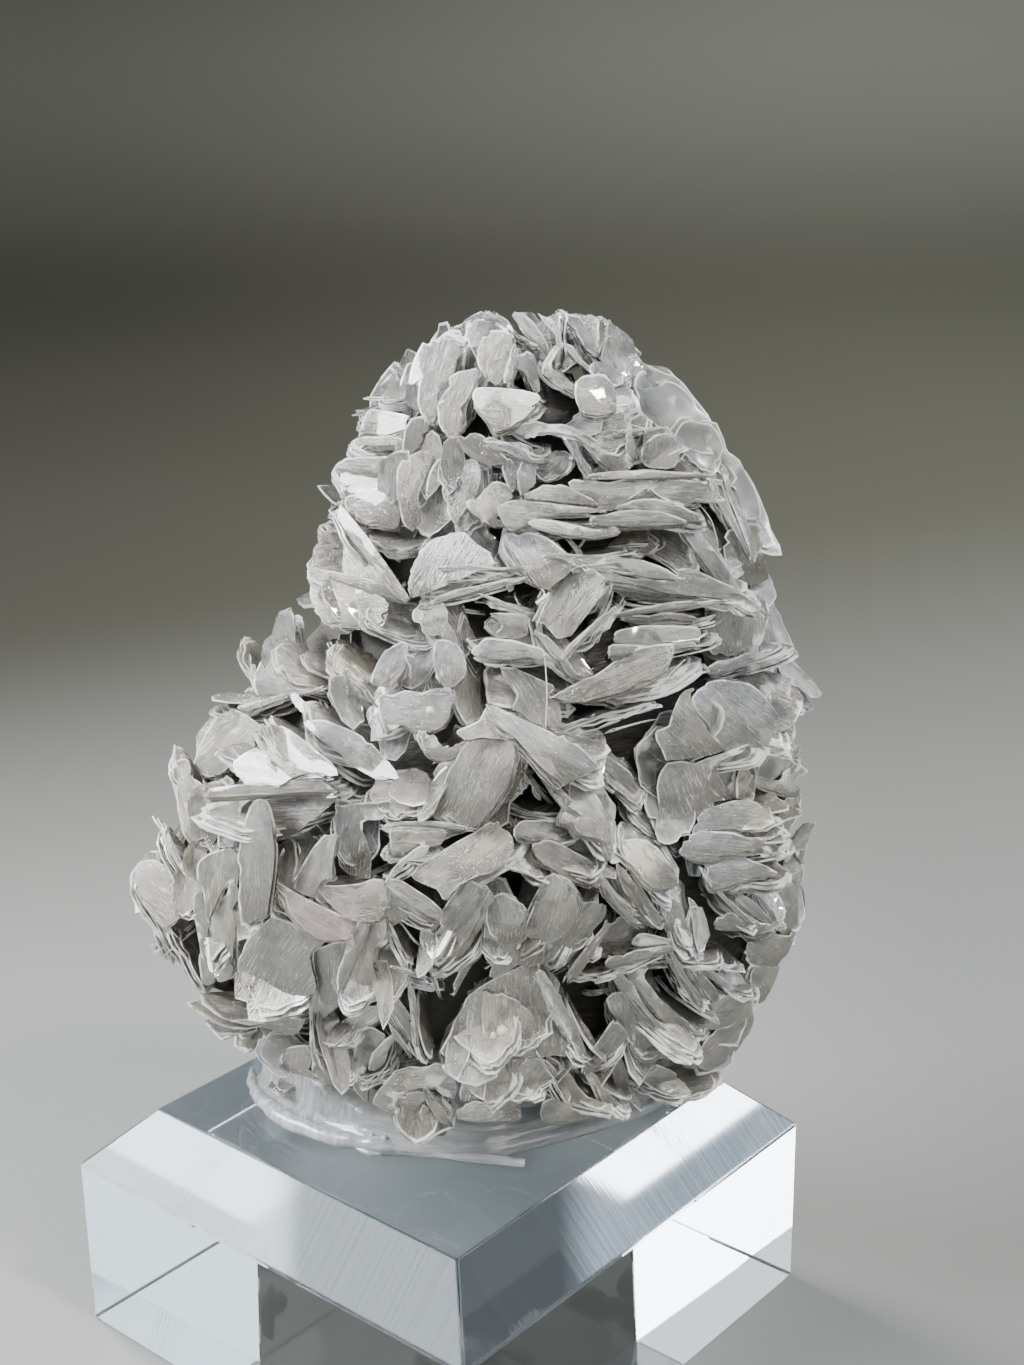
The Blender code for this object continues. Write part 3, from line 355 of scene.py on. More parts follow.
UPPER_RIGHT_SHEETS = (
    (3.2, 0, 0, 1, 2, 1.35, (545, 250, 600, 232, 830, 218, 1090, 232, 1090, 250, 620, 262)),
    (2.4, 0, 0.1, 1, 1, 0.85, (500, 258, 760, 250, 1090, 270, 1060, 320, 1000, 380, 900, 345, 820, 300,
     700, 390, 640, 400, 560, 370, 500, 320)),
    (3.6, 0, 0, -12, 2, 1.05, (695, 385, 720, 365, 860, 342, 1020, 395, 1065, 430, 1070, 450, 960, 440,
     860, 402)),
    (3.8, 0, 0, 0, 3, 1.15, (570, 437, 640, 405, 840, 392, 1000, 440, 960, 460, 640, 472)),
    (3, 0, 0, -12, 3, 1.1, (290, 345, 340, 290, 420, 283, 480, 290, 610, 365, 560, 375)),
    (3.4, 0, 0, -8, 3, 1.1, (165, 390, 200, 358, 290, 350, 650, 400, 440, 412, 340, 440, 240, 488, 200, 470)),
    (3.8, 0, 0, -5, 2, 1.15, (305, 465, 360, 430, 600, 480, 700, 478, 700, 500, 600, 520, 480, 510)),
    (2.8, 0.3, 0.2, -60, 3, 1, (190, 515, 250, 495, 330, 500, 400, 530, 480, 600, 490, 660, 420, 720,
     365, 745, 310, 700)),
    (3.8, 0, 0, -10, 2, 1.2, (355, 585, 800, 615, 960, 690, 1020, 702, 900, 704, 780, 684, 680, 645,
     440, 618)),
    (3.4, 0, 0, -12, 4, 1.1, (490, 650, 560, 635, 640, 650, 700, 690, 900, 700, 960, 655, 1040, 660,
     1200, 730, 1370, 860, 1280, 845, 1180, 795, 900, 760, 520, 682)),
    (2.6, 0, 0, -8, 2, 0.75, (670, 715, 1160, 792, 1080, 800, 860, 792, 740, 772, 670, 745)),
    (3.2, 0.35, 0.1, -125, 3, 0.95, (490, 650, 560, 640, 640, 690, 655, 720, 570, 850, 460, 975, 370, 900,
     330, 890, 450, 690)),
    (3.8, 0, 0, 42, 2, 1.35, (440, 1045, 480, 990, 610, 870, 670, 828, 685, 832, 470, 1034)),
    (3.4, 0, 0, 60, 2, 1.15, (610, 830, 590, 800, 655, 715, 668, 715, 660, 760, 625, 840)),
    (2.8, 0, 0, -50, 3, 1.1, (325, 930, 420, 980, 510, 1110, 545, 1140, 500, 1140, 430, 1080)),
    (2.6, 0, 0.5, 3, 2, 0.95, (690, 930, 800, 905, 1040, 905, 1060, 950, 1050, 980, 960, 975, 830, 990,
     720, 985, 680, 970)),
    (3.6, 0, 0, 5, 3, 1.35, (650, 1025, 670, 985, 830, 990, 960, 975, 1050, 980, 1060, 992, 690, 1042)),
    (3.2, 0, 0, 8, 2, 1.25, (670, 850, 720, 835, 920, 800, 1060, 790, 1180, 790, 690, 864)),
    (2.4, 0, 0, 0, 2, 0.9, (700, 860, 900, 845, 1000, 850, 1050, 880, 980, 888, 760, 884)),
    (1.6, -0.3, 0, 92, 1, 0.95, (1085, 800, 1160, 790, 1260, 810, 1320, 860, 1325, 940, 1310, 1010,
     1180, 1040, 1100, 1020, 1085, 930)),
    (1.2, -0.4, 0, 100, 1, 1.2, (1300, 860, 1370, 865, 1385, 940, 1410, 1010, 1380, 1040, 1320, 1010)),
    (2.2, 0, 0, 14, 3, 1.15, (1090, 1080, 1260, 1020, 1380, 1005, 1410, 1020, 1380, 1045, 1280, 1052,
     1120, 1122)),
    (2.8, 0.2, 0.1, -52, 3, 1.2, (990, 455, 1020, 445, 1060, 490, 1240, 750, 1120, 690, 985, 510)),
    (1.4, 0, 0, -62, 1, 1.25, (1095, 245, 1110, 250, 1150, 320, 1280, 590, 1270, 612, 1120, 332)),
    (1.2, 0, 0, -66, 2, 1.2, (1150, 215, 1170, 220, 1200, 320, 1280, 470, 1300, 560, 1290, 612, 1180, 332)),
    (0.6, -0.3, 0, -60, 1, 0.8, (1170, 500, 1210, 480, 1300, 600, 1320, 560, 1360, 700, 1220, 730, 1180, 660,
     1155, 560)),
    (1.6, 0, 0.1, 80, 1, 0.75, (790, 150, 820, 90, 870, 60, 930, 60, 955, 110, 960, 180, 940, 210, 870, 215,
     810, 200)),
    (3, 0, 0, -62, 2, 1.15, (480, 60, 510, 70, 530, 130, 590, 235, 570, 250, 540, 210)),
    (2.4, 0, 0, -80, 1, 1, (730, 60, 760, 50, 780, 110, 760, 215, 740, 170, 722, 110)),
    (2.2, 0.1, 0.1, -35, 2, 0.9, (500, 40, 660, 145, 740, 150, 750, 215, 660, 220, 560, 130)),
    (2.8, 0, 0, 2, 2, 1.35, (665, 45, 740, 38, 830, 35, 780, 62, 700, 62)),
    (3.4, 0, 0, -20, 3, 1.15, (110, 100, 150, 85, 290, 130, 350, 170, 400, 185, 320, 192)),
    (3.4, 0, 0.3, -3, 3, 1.25, (50, 1015, 100, 965, 180, 958, 350, 1000, 390, 1035, 370, 1054, 140, 1054,
     80, 1042)),
    (3, 0, 0, -18, 1, 1.35, (80, 768, 130, 770, 270, 830, 340, 852, 300, 854, 230, 843)),
    (1.8, 0, 0.1, 0, 1, 0.9, (130, 850, 290, 855, 300, 900, 290, 950, 200, 960, 150, 940, 180, 900)),
)
UPPER_LEFT_SHEETS = (
    (3, 0.2, 0.2, -52, 3, 1.15, (440, 140, 470, 135, 740, 500, 720, 515, 650, 450, 470, 200)),
    (1, 0.3, 0.2, -70, 2, 1, (320, 470, 298, 420, 305, 370, 335, 315, 380, 285, 440, 278, 500, 300, 640, 450,
     560, 470, 430, 430, 350, 440)),
    (2.4, 0, 0, -15, 2, 1.2, (318, 400, 400, 400, 600, 445, 745, 515, 700, 525, 600, 500)),
    (1.6, 0.2, 0.1, -12, 3, 1, (310, 470, 330, 420, 400, 430, 640, 520, 640, 600, 600, 640, 430, 640,
     370, 620, 330, 570, 310, 520)),
    (2.4, 0.1, 0.2, -120, 2, 1, (745, 500, 750, 430, 775, 360, 820, 290, 880, 250, 960, 230, 1010, 240,
     1140, 350, 1100, 380, 790, 515)),
    (4, 0, 0, 1, 2, 1.35, (860, 395, 900, 370, 1240, 372, 1240, 392, 1130, 398, 900, 402)),
    (3.4, 0, 0, 3, 2, 1.1, (890, 442, 950, 430, 1060, 432, 1160, 415, 1150, 437, 950, 453)),
    (3.6, 0, 0, 15, 2, 1.25, (795, 542, 950, 480, 1240, 422, 1240, 445, 1150, 457, 860, 542)),
    (1.8, 0.1, 0.2, -70, 1, 0.95, (795, 542, 905, 540, 920, 680, 880, 690, 820, 680, 780, 640, 760, 590)),
    (1.6, 0.1, 0.1, 80, 2, 0.95, (850, 710, 900, 700, 950, 720, 990, 780, 990, 860, 950, 905, 900, 910,
     860, 870, 845, 800)),
    (1.2, 0, 0, 80, 1, 0.9, (725, 770, 770, 780, 775, 850, 765, 890, 740, 860)),
    (1.4, 0.2, 0.2, 50, 2, 0.9, (570, 885, 620, 770, 670, 730, 720, 710, 740, 740, 720, 870, 680, 920,
     620, 910)),
    (1, 0.1, 0.1, 4, 2, 0.8, (600, 960, 660, 930, 860, 915, 950, 930, 920, 1040, 880, 1090, 830, 1110,
     760, 1110, 700, 1080, 640, 1120, 610, 1050)),
    (2, 0, 0, -10, 2, 1.1, (775, 1120, 800, 1098, 850, 1120, 880, 1165, 930, 1180, 990, 1150, 1060, 1165,
     930, 1230, 860, 1235, 810, 1200)),
    (3, 0.1, 0.3, -36, 3, 1, (290, 1070, 340, 1055, 400, 1060, 540, 1130, 600, 1180, 700, 1310, 600, 1300,
     500, 1240)),
    (2.4, 0.1, 0.3, -36, 3, 1, (95, 1100, 150, 1085, 220, 1095, 400, 1240, 430, 1300, 300, 1290, 170, 1240,
     110, 1170)),
    (0.8, 0.2, 0.1, -20, 2, 1.15, (60, 860, 110, 780, 180, 770, 240, 790, 290, 840, 300, 890, 280, 930,
     200, 950, 110, 950, 70, 930)),
    (1, 0, 0, -75, 2, 1.3, (38, 765, 60, 800, 75, 850, 95, 930, 72, 935, 45, 860)),
    (2, 0, 0, 14, 2, 1.2, (-5, 990, 350, 905, 360, 920, 220, 957, 100, 1003, 30, 1020)),
    (2.4, 0, 0, -52, 3, 1, (230, 940, 260, 945, 310, 1000, 345, 1045, 310, 1055, 270, 1010)),
    (1.4, 0, 0, -75, 1, 1.1, (430, 900, 460, 890, 480, 950, 490, 1010, 460, 1030, 440, 980)),
    (2, 0, 0, -50, 2, 1.05, (455, 840, 480, 835, 540, 900, 600, 980, 610, 1010, 560, 970)),
)
MIDDLE_SHEETS = (
    (4.4, -0.35, 0.5, -38, 4, 1, (466, 208, 500, 200, 750, 312, 835, 338, 945, 440, 950, 485, 830, 540,
     780, 545, 600, 352, 530, 300)),
    (4.4, 0.1, 0.4, 30, 2, 1, (335, 310, 430, 262, 466, 208, 530, 300, 590, 350, 440, 345, 390, 355,
     360, 345)),
    (3.2, 0.5, 0.1, 62, 3, 1.05, (375, 365, 440, 345, 560, 345, 600, 420, 560, 560, 470, 690, 410, 738,
     240, 700, 222, 650, 300, 480)),
    (2.9, 0.2, 0.3, -110, 2, 0.85, (520, 350, 580, 370, 620, 430, 600, 580, 560, 630, 480, 640, 420, 620,
     385, 580, 400, 520, 480, 385)),
    (3.4, 0.3, 0.2, -50, 2, 1.05, (640, 392, 670, 405, 830, 600, 835, 640, 800, 650, 650, 430)),
    (2.6, 0, 0, -60, 1, 0.9, (612, 478, 640, 500, 690, 580, 715, 615, 690, 615, 650, 560)),
    (3.4, 0.3, 0.3, -52, 4, 1.1, (818, 515, 885, 530, 975, 630, 1025, 800, 1030, 880, 985, 800, 880, 770,
     840, 720, 790, 710, 830, 590)),
    (3.4, 0.1, 0.3, 35, 2, 0.85, (515, 708, 580, 780, 585, 830, 560, 880, 500, 930, 400, 965, 330, 1010,
     280, 1060, 240, 1010, 130, 945, 280, 830, 450, 725)),
    (3, 0, 0, -2, 2, 1.25, (0, 735, 60, 712, 240, 706, 415, 738, 380, 748, 100, 725)),
    (2.2, 0, 0.1, 0, 1, 0.9, (40, 745, 100, 728, 280, 740, 282, 800, 230, 822, 170, 815, 60, 870, 40, 800)),
    (3.8, 0.3, 0.2, 40, 1, 1.4, (30, 985, 40, 940, 90, 880, 170, 818, 220, 820, 200, 860, 130, 900)),
    (3.8, 0.1, 0.4, -35, 4, 1.15, (20, 985, 90, 965, 230, 1060, 275, 1110, 260, 1144, 180, 1110)),
    (3.6, 0.5, 0.1, 55, 4, 1.05, (395, 965, 435, 1000, 420, 1060, 330, 1170, 290, 1190, 262, 1160, 270, 1110,
     350, 990)),
    (3.2, 0.2, 0.3, 88, 2, 0.95, (540, 1020, 590, 1040, 620, 1080, 640, 1144, 640, 1230, 560, 1260, 490, 1230,
     462, 1150, 470, 1090, 500, 1040)),
    (3.4, 0.4, 0.2, 72, 4, 0.95, (770, 938, 830, 960, 880, 1050, 840, 1180, 760, 1240, 660, 1230, 640, 1144,
     735, 955)),
    (2.6, 0.2, 0.2, 75, 2, 0.8, (905, 1060, 945, 1090, 950, 1160, 920, 1220, 870, 1210, 850, 1144,
     870, 1090)),
    (2.6, -0.1, 0.2, -32, 2, 0.85, (670, 830, 700, 800, 760, 790, 900, 860, 950, 900, 985, 960, 960, 1000,
     900, 995, 760, 930)),
    (2, -0.2, 0.4, -20, 2, 0.8, (590, 740, 640, 705, 760, 705, 840, 740, 940, 830, 860, 830, 760, 790,
     680, 800, 600, 790)),
    (3.2, 0, 0, -52, 1, 1.4, (945, 905, 965, 925, 1010, 990, 1110, 1110, 1095, 1144, 955, 945)),
    (2.6, 0.3, 0, -52, 4, 0.9, (1065, 905, 1100, 930, 1150, 1000, 1240, 1144, 1180, 1144, 1080, 970)),
    (3, 0.2, 0.3, -42, 3, 1.25, (1060, 800, 1090, 787, 1150, 785, 1200, 810, 1260, 870, 1300, 950, 1300, 1000,
     1190, 1000, 1080, 870)),
    (1.4, -0.2, 0.2, -36, 1, 0.5, (885, 380, 940, 378, 1080, 470, 1130, 540, 1135, 585, 1080, 570)),
    (3, 0.2, 0.3, 24, 3, 0.85, (745, 150, 940, 65, 1060, -20, 1160, -60, 1290, -70, 1260, 30, 1150, 110,
     900, 185, 770, 170)),
    (2.6, 0, 0, 20, 1, 1.3, (858, 328, 1000, 272, 1205, 203, 1210, 214, 1100, 255, 900, 327)),
    (2, 0, 0, 14, 1, 1.1, (960, 322, 1060, 290, 1230, 248, 1235, 259, 1150, 281, 980, 327)),
    (2.2, 0, 0, 22, 1, 1.2, (790, 300, 860, 268, 940, 238, 945, 248, 870, 281, 800, 311)),
    (1.8, 0.1, 0.1, -62, 2, 0.8, (530, 20, 760, 110, 745, 150, 780, 180, 800, 240, 790, 290, 740, 300,
     700, 290, 580, 220, 600, 150)),
)
LEFT_ARM_SHEETS = (
    (0.6, 0.3, 0, -75, 2, 0.9, (275, 330, 285, 270, 350, 262, 370, 330, 420, 390, 480, 560, 470, 620,
     440, 660, 400, 665, 340, 620, 310, 540)),
    (1, 0.2, 0.2, 40, 2, 1, (455, 90, 520, 50, 560, 40, 690, 130, 640, 180, 640, 210, 560, 260, 480, 330,
     370, 270)),
    (2.8, 0.1, 0.5, -15, 3, 1.25, (540, 270, 640, 210, 780, 250, 960, 330, 820, 340, 740, 380, 640, 370,
     560, 330)),
    (3.4, 0, 0.3, 2, 3, 1.3, (425, 410, 470, 380, 740, 360, 850, 340, 920, 350, 1000, 400, 960, 412, 860, 408,
     440, 433)),
    (2.2, 0.1, 0.1, 2, 1, 1, (440, 430, 860, 405, 960, 410, 1000, 440, 880, 540, 760, 620, 710, 600, 690, 520,
     650, 440, 580, 470, 540, 640, 480, 650, 470, 600, 480, 540)),
    (3.6, 0.5, 0.1, 90, 3, 1.1, (650, 435, 690, 460, 720, 600, 725, 700, 690, 950, 590, 980, 570, 930,
     562, 850, 570, 750, 560, 680, 600, 500)),
    (2.6, 0.4, 0.1, 80, 2, 1, (440, 670, 550, 650, 568, 780, 560, 880, 530, 920, 520, 800, 440, 960,
     430, 1010, 400, 830, 380, 800, 380, 720)),
    (0.8, 0.3, 0.2, -45, 2, 1, (90, 790, 105, 740, 150, 705, 210, 705, 270, 740, 320, 790, 310, 850, 330, 930,
     250, 1000, 180, 940, 100, 840)),
    (1, 0.2, 0.1, -55, 3, 1.2, (180, 940, 300, 1040, 380, 1180, 400, 1280, 250, 1080, 235, 1020)),
    (1.8, 0, 0, -62, 2, 1.4, (250, 570, 340, 760, 380, 830, 350, 802, 270, 672, 255, 622)),
    (2.2, 0.3, 0, 88, 3, 1.15, (380, 840, 410, 850, 435, 1010, 420, 1080, 430, 1140, 400, 1120, 365, 900)),
    (2.8, 0.4, 0, 84, 3, 1.15, (440, 900, 480, 880, 540, 790, 560, 900, 560, 1000, 540, 1100, 545, 1180,
     520, 1230, 470, 1240, 450, 1180)),
    (1.8, 0.2, 0.2, 80, 2, 1.35, (390, 1120, 440, 1090, 455, 1160, 460, 1230, 420, 1260, 395, 1220)),
    (2.6, 0.15, 0.1, 60, 2, 0.95, (590, 1080, 640, 1010, 770, 920, 870, 1010, 940, 1050, 890, 1110, 890, 1180,
     910, 1260, 880, 1330, 800, 1400, 700, 1400, 620, 1340, 560, 1180)),
    (3.8, -0.1, 0.4, -35, 3, 1.1, (735, 800, 1000, 940, 1090, 970, 1060, 1010, 1070, 1050, 1000, 1060,
     920, 1055, 860, 1020, 800, 960, 735, 840)),
    (3.2, 0.5, 0.2, 60, 3, 0.95, (975, 590, 1000, 600, 975, 740, 980, 780, 930, 800, 900, 850, 860, 860,
     810, 830, 830, 750, 920, 610)),
    (2.6, 0.3, 0, 80, 1, 1, (770, 650, 760, 720, 790, 820, 735, 800, 730, 730, 745, 680)),
    (1.6, 0.2, 0.1, 85, 1, 0.8, (990, 490, 1020, 460, 1230, 440, 1200, 520, 1110, 540, 1150, 680, 1150, 760,
     1130, 790, 1010, 730)),
    (3.2, 0, 0.3, 4, 2, 1.1, (920, 820, 1050, 810, 1200, 790, 1220, 950, 1080, 975, 950, 880)),
    (2.2, 0.2, 0, 85, 1, 1, (885, 1130, 940, 1080, 1060, 1060, 1020, 1150, 1000, 1320, 920, 1330)),
    (3.8, 0.3, 0.1, 66, 2, 1.25, (1090, 980, 1130, 975, 1135, 1010, 1020, 1290, 1000, 1260, 1010, 1180)),
)
RIGHT_EDGE_SHEETS = (
    (2.4, -0.1, 0.15, -40, 2, 1.2, (495, 250, 540, 200, 600, 175, 680, 175, 750, 190, 800, 230, 900, 360,
     935, 430, 940, 520, 900, 480, 830, 490, 760, 470, 700, 470, 640, 490, 520, 320)),
    (1.8, 0.1, 0.1, -50, 1, 0.8, (330, 410, 380, 370, 440, 240, 500, 210, 495, 260, 560, 390, 640, 480,
     560, 510, 400, 535, 370, 510)),
    (1.6, 0.1, 0, -70, 1, 0.8, (370, 550, 400, 535, 560, 515, 740, 455, 700, 500, 620, 520, 570, 570,
     560, 620, 600, 680, 640, 705, 560, 730, 470, 840, 400, 880, 360, 850, 330, 650)),
    (1, -0.2, 0, -60, 2, 0.7, (560, 620, 570, 570, 620, 520, 700, 490, 780, 480, 830, 490, 800, 540, 740, 570,
     690, 560, 680, 620, 690, 700, 640, 705, 600, 680)),
    (2.2, 0.3, 0.1, 80, 2, 1.1, (690, 600, 710, 565, 740, 570, 760, 600, 740, 640, 760, 680, 720, 700,
     690, 690)),
    (1.8, -0.2, 0.3, -8, 2, 1.3, (760, 600, 870, 620, 900, 570, 935, 570, 960, 690, 790, 650)),
    (1, -0.2, 0, 50, 1, 0.75, (770, 580, 820, 500, 900, 480, 935, 530, 940, 560, 840, 620, 780, 610)),
    (2.2, 0, 0.3, -5, 3, 1.05, (500, 820, 530, 760, 590, 730, 740, 700, 850, 770, 870, 830, 870, 900,
     730, 850, 560, 840, 500, 870)),
    (2.8, 0, 0.3, -5, 3, 1, (440, 920, 470, 870, 540, 840, 740, 855, 870, 900, 860, 930, 800, 920, 740, 940,
     650, 950, 560, 980, 450, 950)),
    (3, 0, 0.3, -5, 3, 1.1, (540, 990, 600, 985, 650, 950, 720, 955, 850, 1010, 860, 1040, 780, 1040,
     600, 1100, 560, 1060)),
    (2.6, 0, 0.3, 5, 2, 0.9, (590, 1100, 660, 1095, 800, 1050, 820, 1090, 740, 1112, 660, 1122)),
    (3.2, 0, 0, -45, 2, 1.15, (525, 990, 600, 1080, 770, 1240, 740, 1242, 690, 1202, 560, 1062)),
    (2.6, 0, 0, -42, 2, 1.05, (690, 1110, 740, 1130, 790, 1170, 850, 1240, 800, 1240, 700, 1160)),
    (2.8, 0, 0.2, -8, 3, 0.95, (590, 1230, 640, 1200, 720, 1200, 790, 1240, 850, 1250, 790, 1270, 620, 1262)),
    (2.2, 0, 0, -58, 2, 1, (770, 1110, 820, 1150, 860, 1200, 870, 1250, 830, 1220, 790, 1160)),
    (1.2, -0.2, 0, 80, 2, 0.95, (860, 1120, 920, 1060, 960, 1180, 940, 1280, 900, 1300, 870, 1250)),
    (0.8, 0, 0, -80, 2, 1.3, (940, 1040, 960, 1050, 990, 1110, 995, 1170, 980, 1220, 965, 1172)),
    (1.6, -0.1, 0, -20, 1, 1, (730, 1330, 790, 1300, 860, 1290, 920, 1300, 950, 1290, 890, 1420, 820, 1440,
     740, 1420)),
    (0.8, -0.3, 0, 80, 1, 0.85, (850, 700, 900, 690, 950, 700, 920, 860, 880, 840, 850, 770)),
    (1.4, 0, 0, -55, 2, 1.2, (780, 180, 800, 160, 860, 210, 910, 270, 925, 330, 930, 400)),
    (0.6, 0, 0, -70, 1, 1.1, (900, 980, 920, 890, 960, 880, 990, 940, 985, 990, 950, 930)),
    (2.8, 0.2, 0.2, -65, 3, 1.15, (330, 1130, 425, 1060, 455, 1200, 500, 1350, 460, 1350, 420, 1320)),
)
LOWER_LEFT_SHEETS = (
    (4, 0.4, 0, 95, 3, 1, (510, 190, 640, 170, 640, 260, 600, 300, 590, 380, 620, 470, 600, 530, 510, 545,
     470, 535, 440, 500, 430, 460, 460, 320)),
    (4.6, 0, 0, 75, 1, 1.2, (500, 250, 520, 195, 560, 180, 565, 215, 550, 260, 520, 275)),
    (3.2, 0.2, 0, 88, 2, 1, (315, 340, 350, 305, 460, 290, 430, 460, 450, 520, 345, 640, 395, 665, 385, 720,
     330, 850, 305, 800, 300, 540, 322, 480)),
    (2, 0, 0.2, -12, 2, 1.1, (0, 580, 60, 545, 90, 545, 230, 600, 290, 605, 280, 640, 230, 680, 80, 640,
     0, 640)),
    (2.8, 0.2, 0, 85, 2, 1.05, (172, 800, 182, 760, 220, 735, 310, 730, 315, 830, 350, 880, 180, 835)),
    (3.4, 0.1, 0, 40, 2, 1.05, (330, 850, 330, 740, 400, 660, 560, 550, 620, 545, 610, 600, 560, 640,
     430, 830, 500, 920, 380, 890)),
    (3.8, 0.2, 0, 70, 2, 0.9, (480, 840, 520, 690, 560, 645, 600, 655, 640, 690, 600, 760, 560, 800, 540, 850,
     560, 900, 560, 980, 520, 950, 490, 900)),
    (4.2, 0, 0, 50, 2, 1.2, (560, 820, 580, 760, 660, 680, 690, 685, 660, 730, 640, 790, 600, 830, 570, 840)),
    (4, 0, 0.2, 10, 2, 1.05, (580, 960, 660, 860, 700, 830, 860, 800, 910, 830, 950, 900, 940, 960, 860, 910,
     740, 930, 680, 960, 690, 1030, 650, 1030, 600, 1000)),
    (4.4, 0, 0, 5, 2, 1.2, (680, 960, 740, 935, 800, 930, 820, 960, 780, 1000, 770, 1080, 700, 1060,
     660, 1030)),
    (4.8, 0, 0, -52, 1, 1.15, (800, 920, 830, 920, 930, 1060, 930, 1090, 870, 1060, 820, 980)),
    (4.4, 0, 0, -30, 1, 1, (770, 1090, 790, 1010, 810, 990, 860, 1040, 910, 1100, 880, 1130)),
    (4.4, 0, 0, -62, 4, 1.3, (625, 480, 660, 480, 740, 580, 760, 640, 760, 720, 700, 640, 630, 510)),
    (4.8, 0, 0, -55, 1, 1.4, (645, 610, 720, 700, 755, 760, 750, 785, 710, 740, 670, 680)),
    (4.6, 0, 0, -87, 2, 1.35, (745, 450, 765, 460, 780, 560, 790, 760, 770, 740, 750, 540)),
    (4.6, 0, 0, -25, 1, 0.8, (665, 370, 780, 405, 860, 470, 800, 440, 730, 420, 670, 390)),
    (4.4, 0, 0, -60, 2, 1.4, (645, 180, 670, 200, 750, 340, 765, 375, 730, 340, 690, 270)),
    (4, 0, 0, -38, 4, 1.15, (640, 10, 700, 30, 880, 170, 870, 215, 820, 215, 780, 180, 720, 170, 660, 200,
     640, 110)),
    (4.4, 0.4, 0, 62, 4, 1.05, (850, 240, 920, 100, 1020, 0, 1100, 50, 1060, 120, 1040, 200, 870, 440,
     845, 380)),
    (4, 0, 0, -80, 2, 1.25, (800, 220, 850, 220, 850, 380, 870, 440, 885, 530, 800, 300)),
    (3, 0, 0, 52, 2, 0.85, (950, 420, 1000, 340, 1060, 290, 1060, 330, 1000, 400, 930, 520)),
    (2.4, 0, 0, -30, 1, 0.7, (640, 300, 680, 280, 760, 380, 860, 430, 870, 470, 780, 440, 700, 390,
     650, 380)),
)
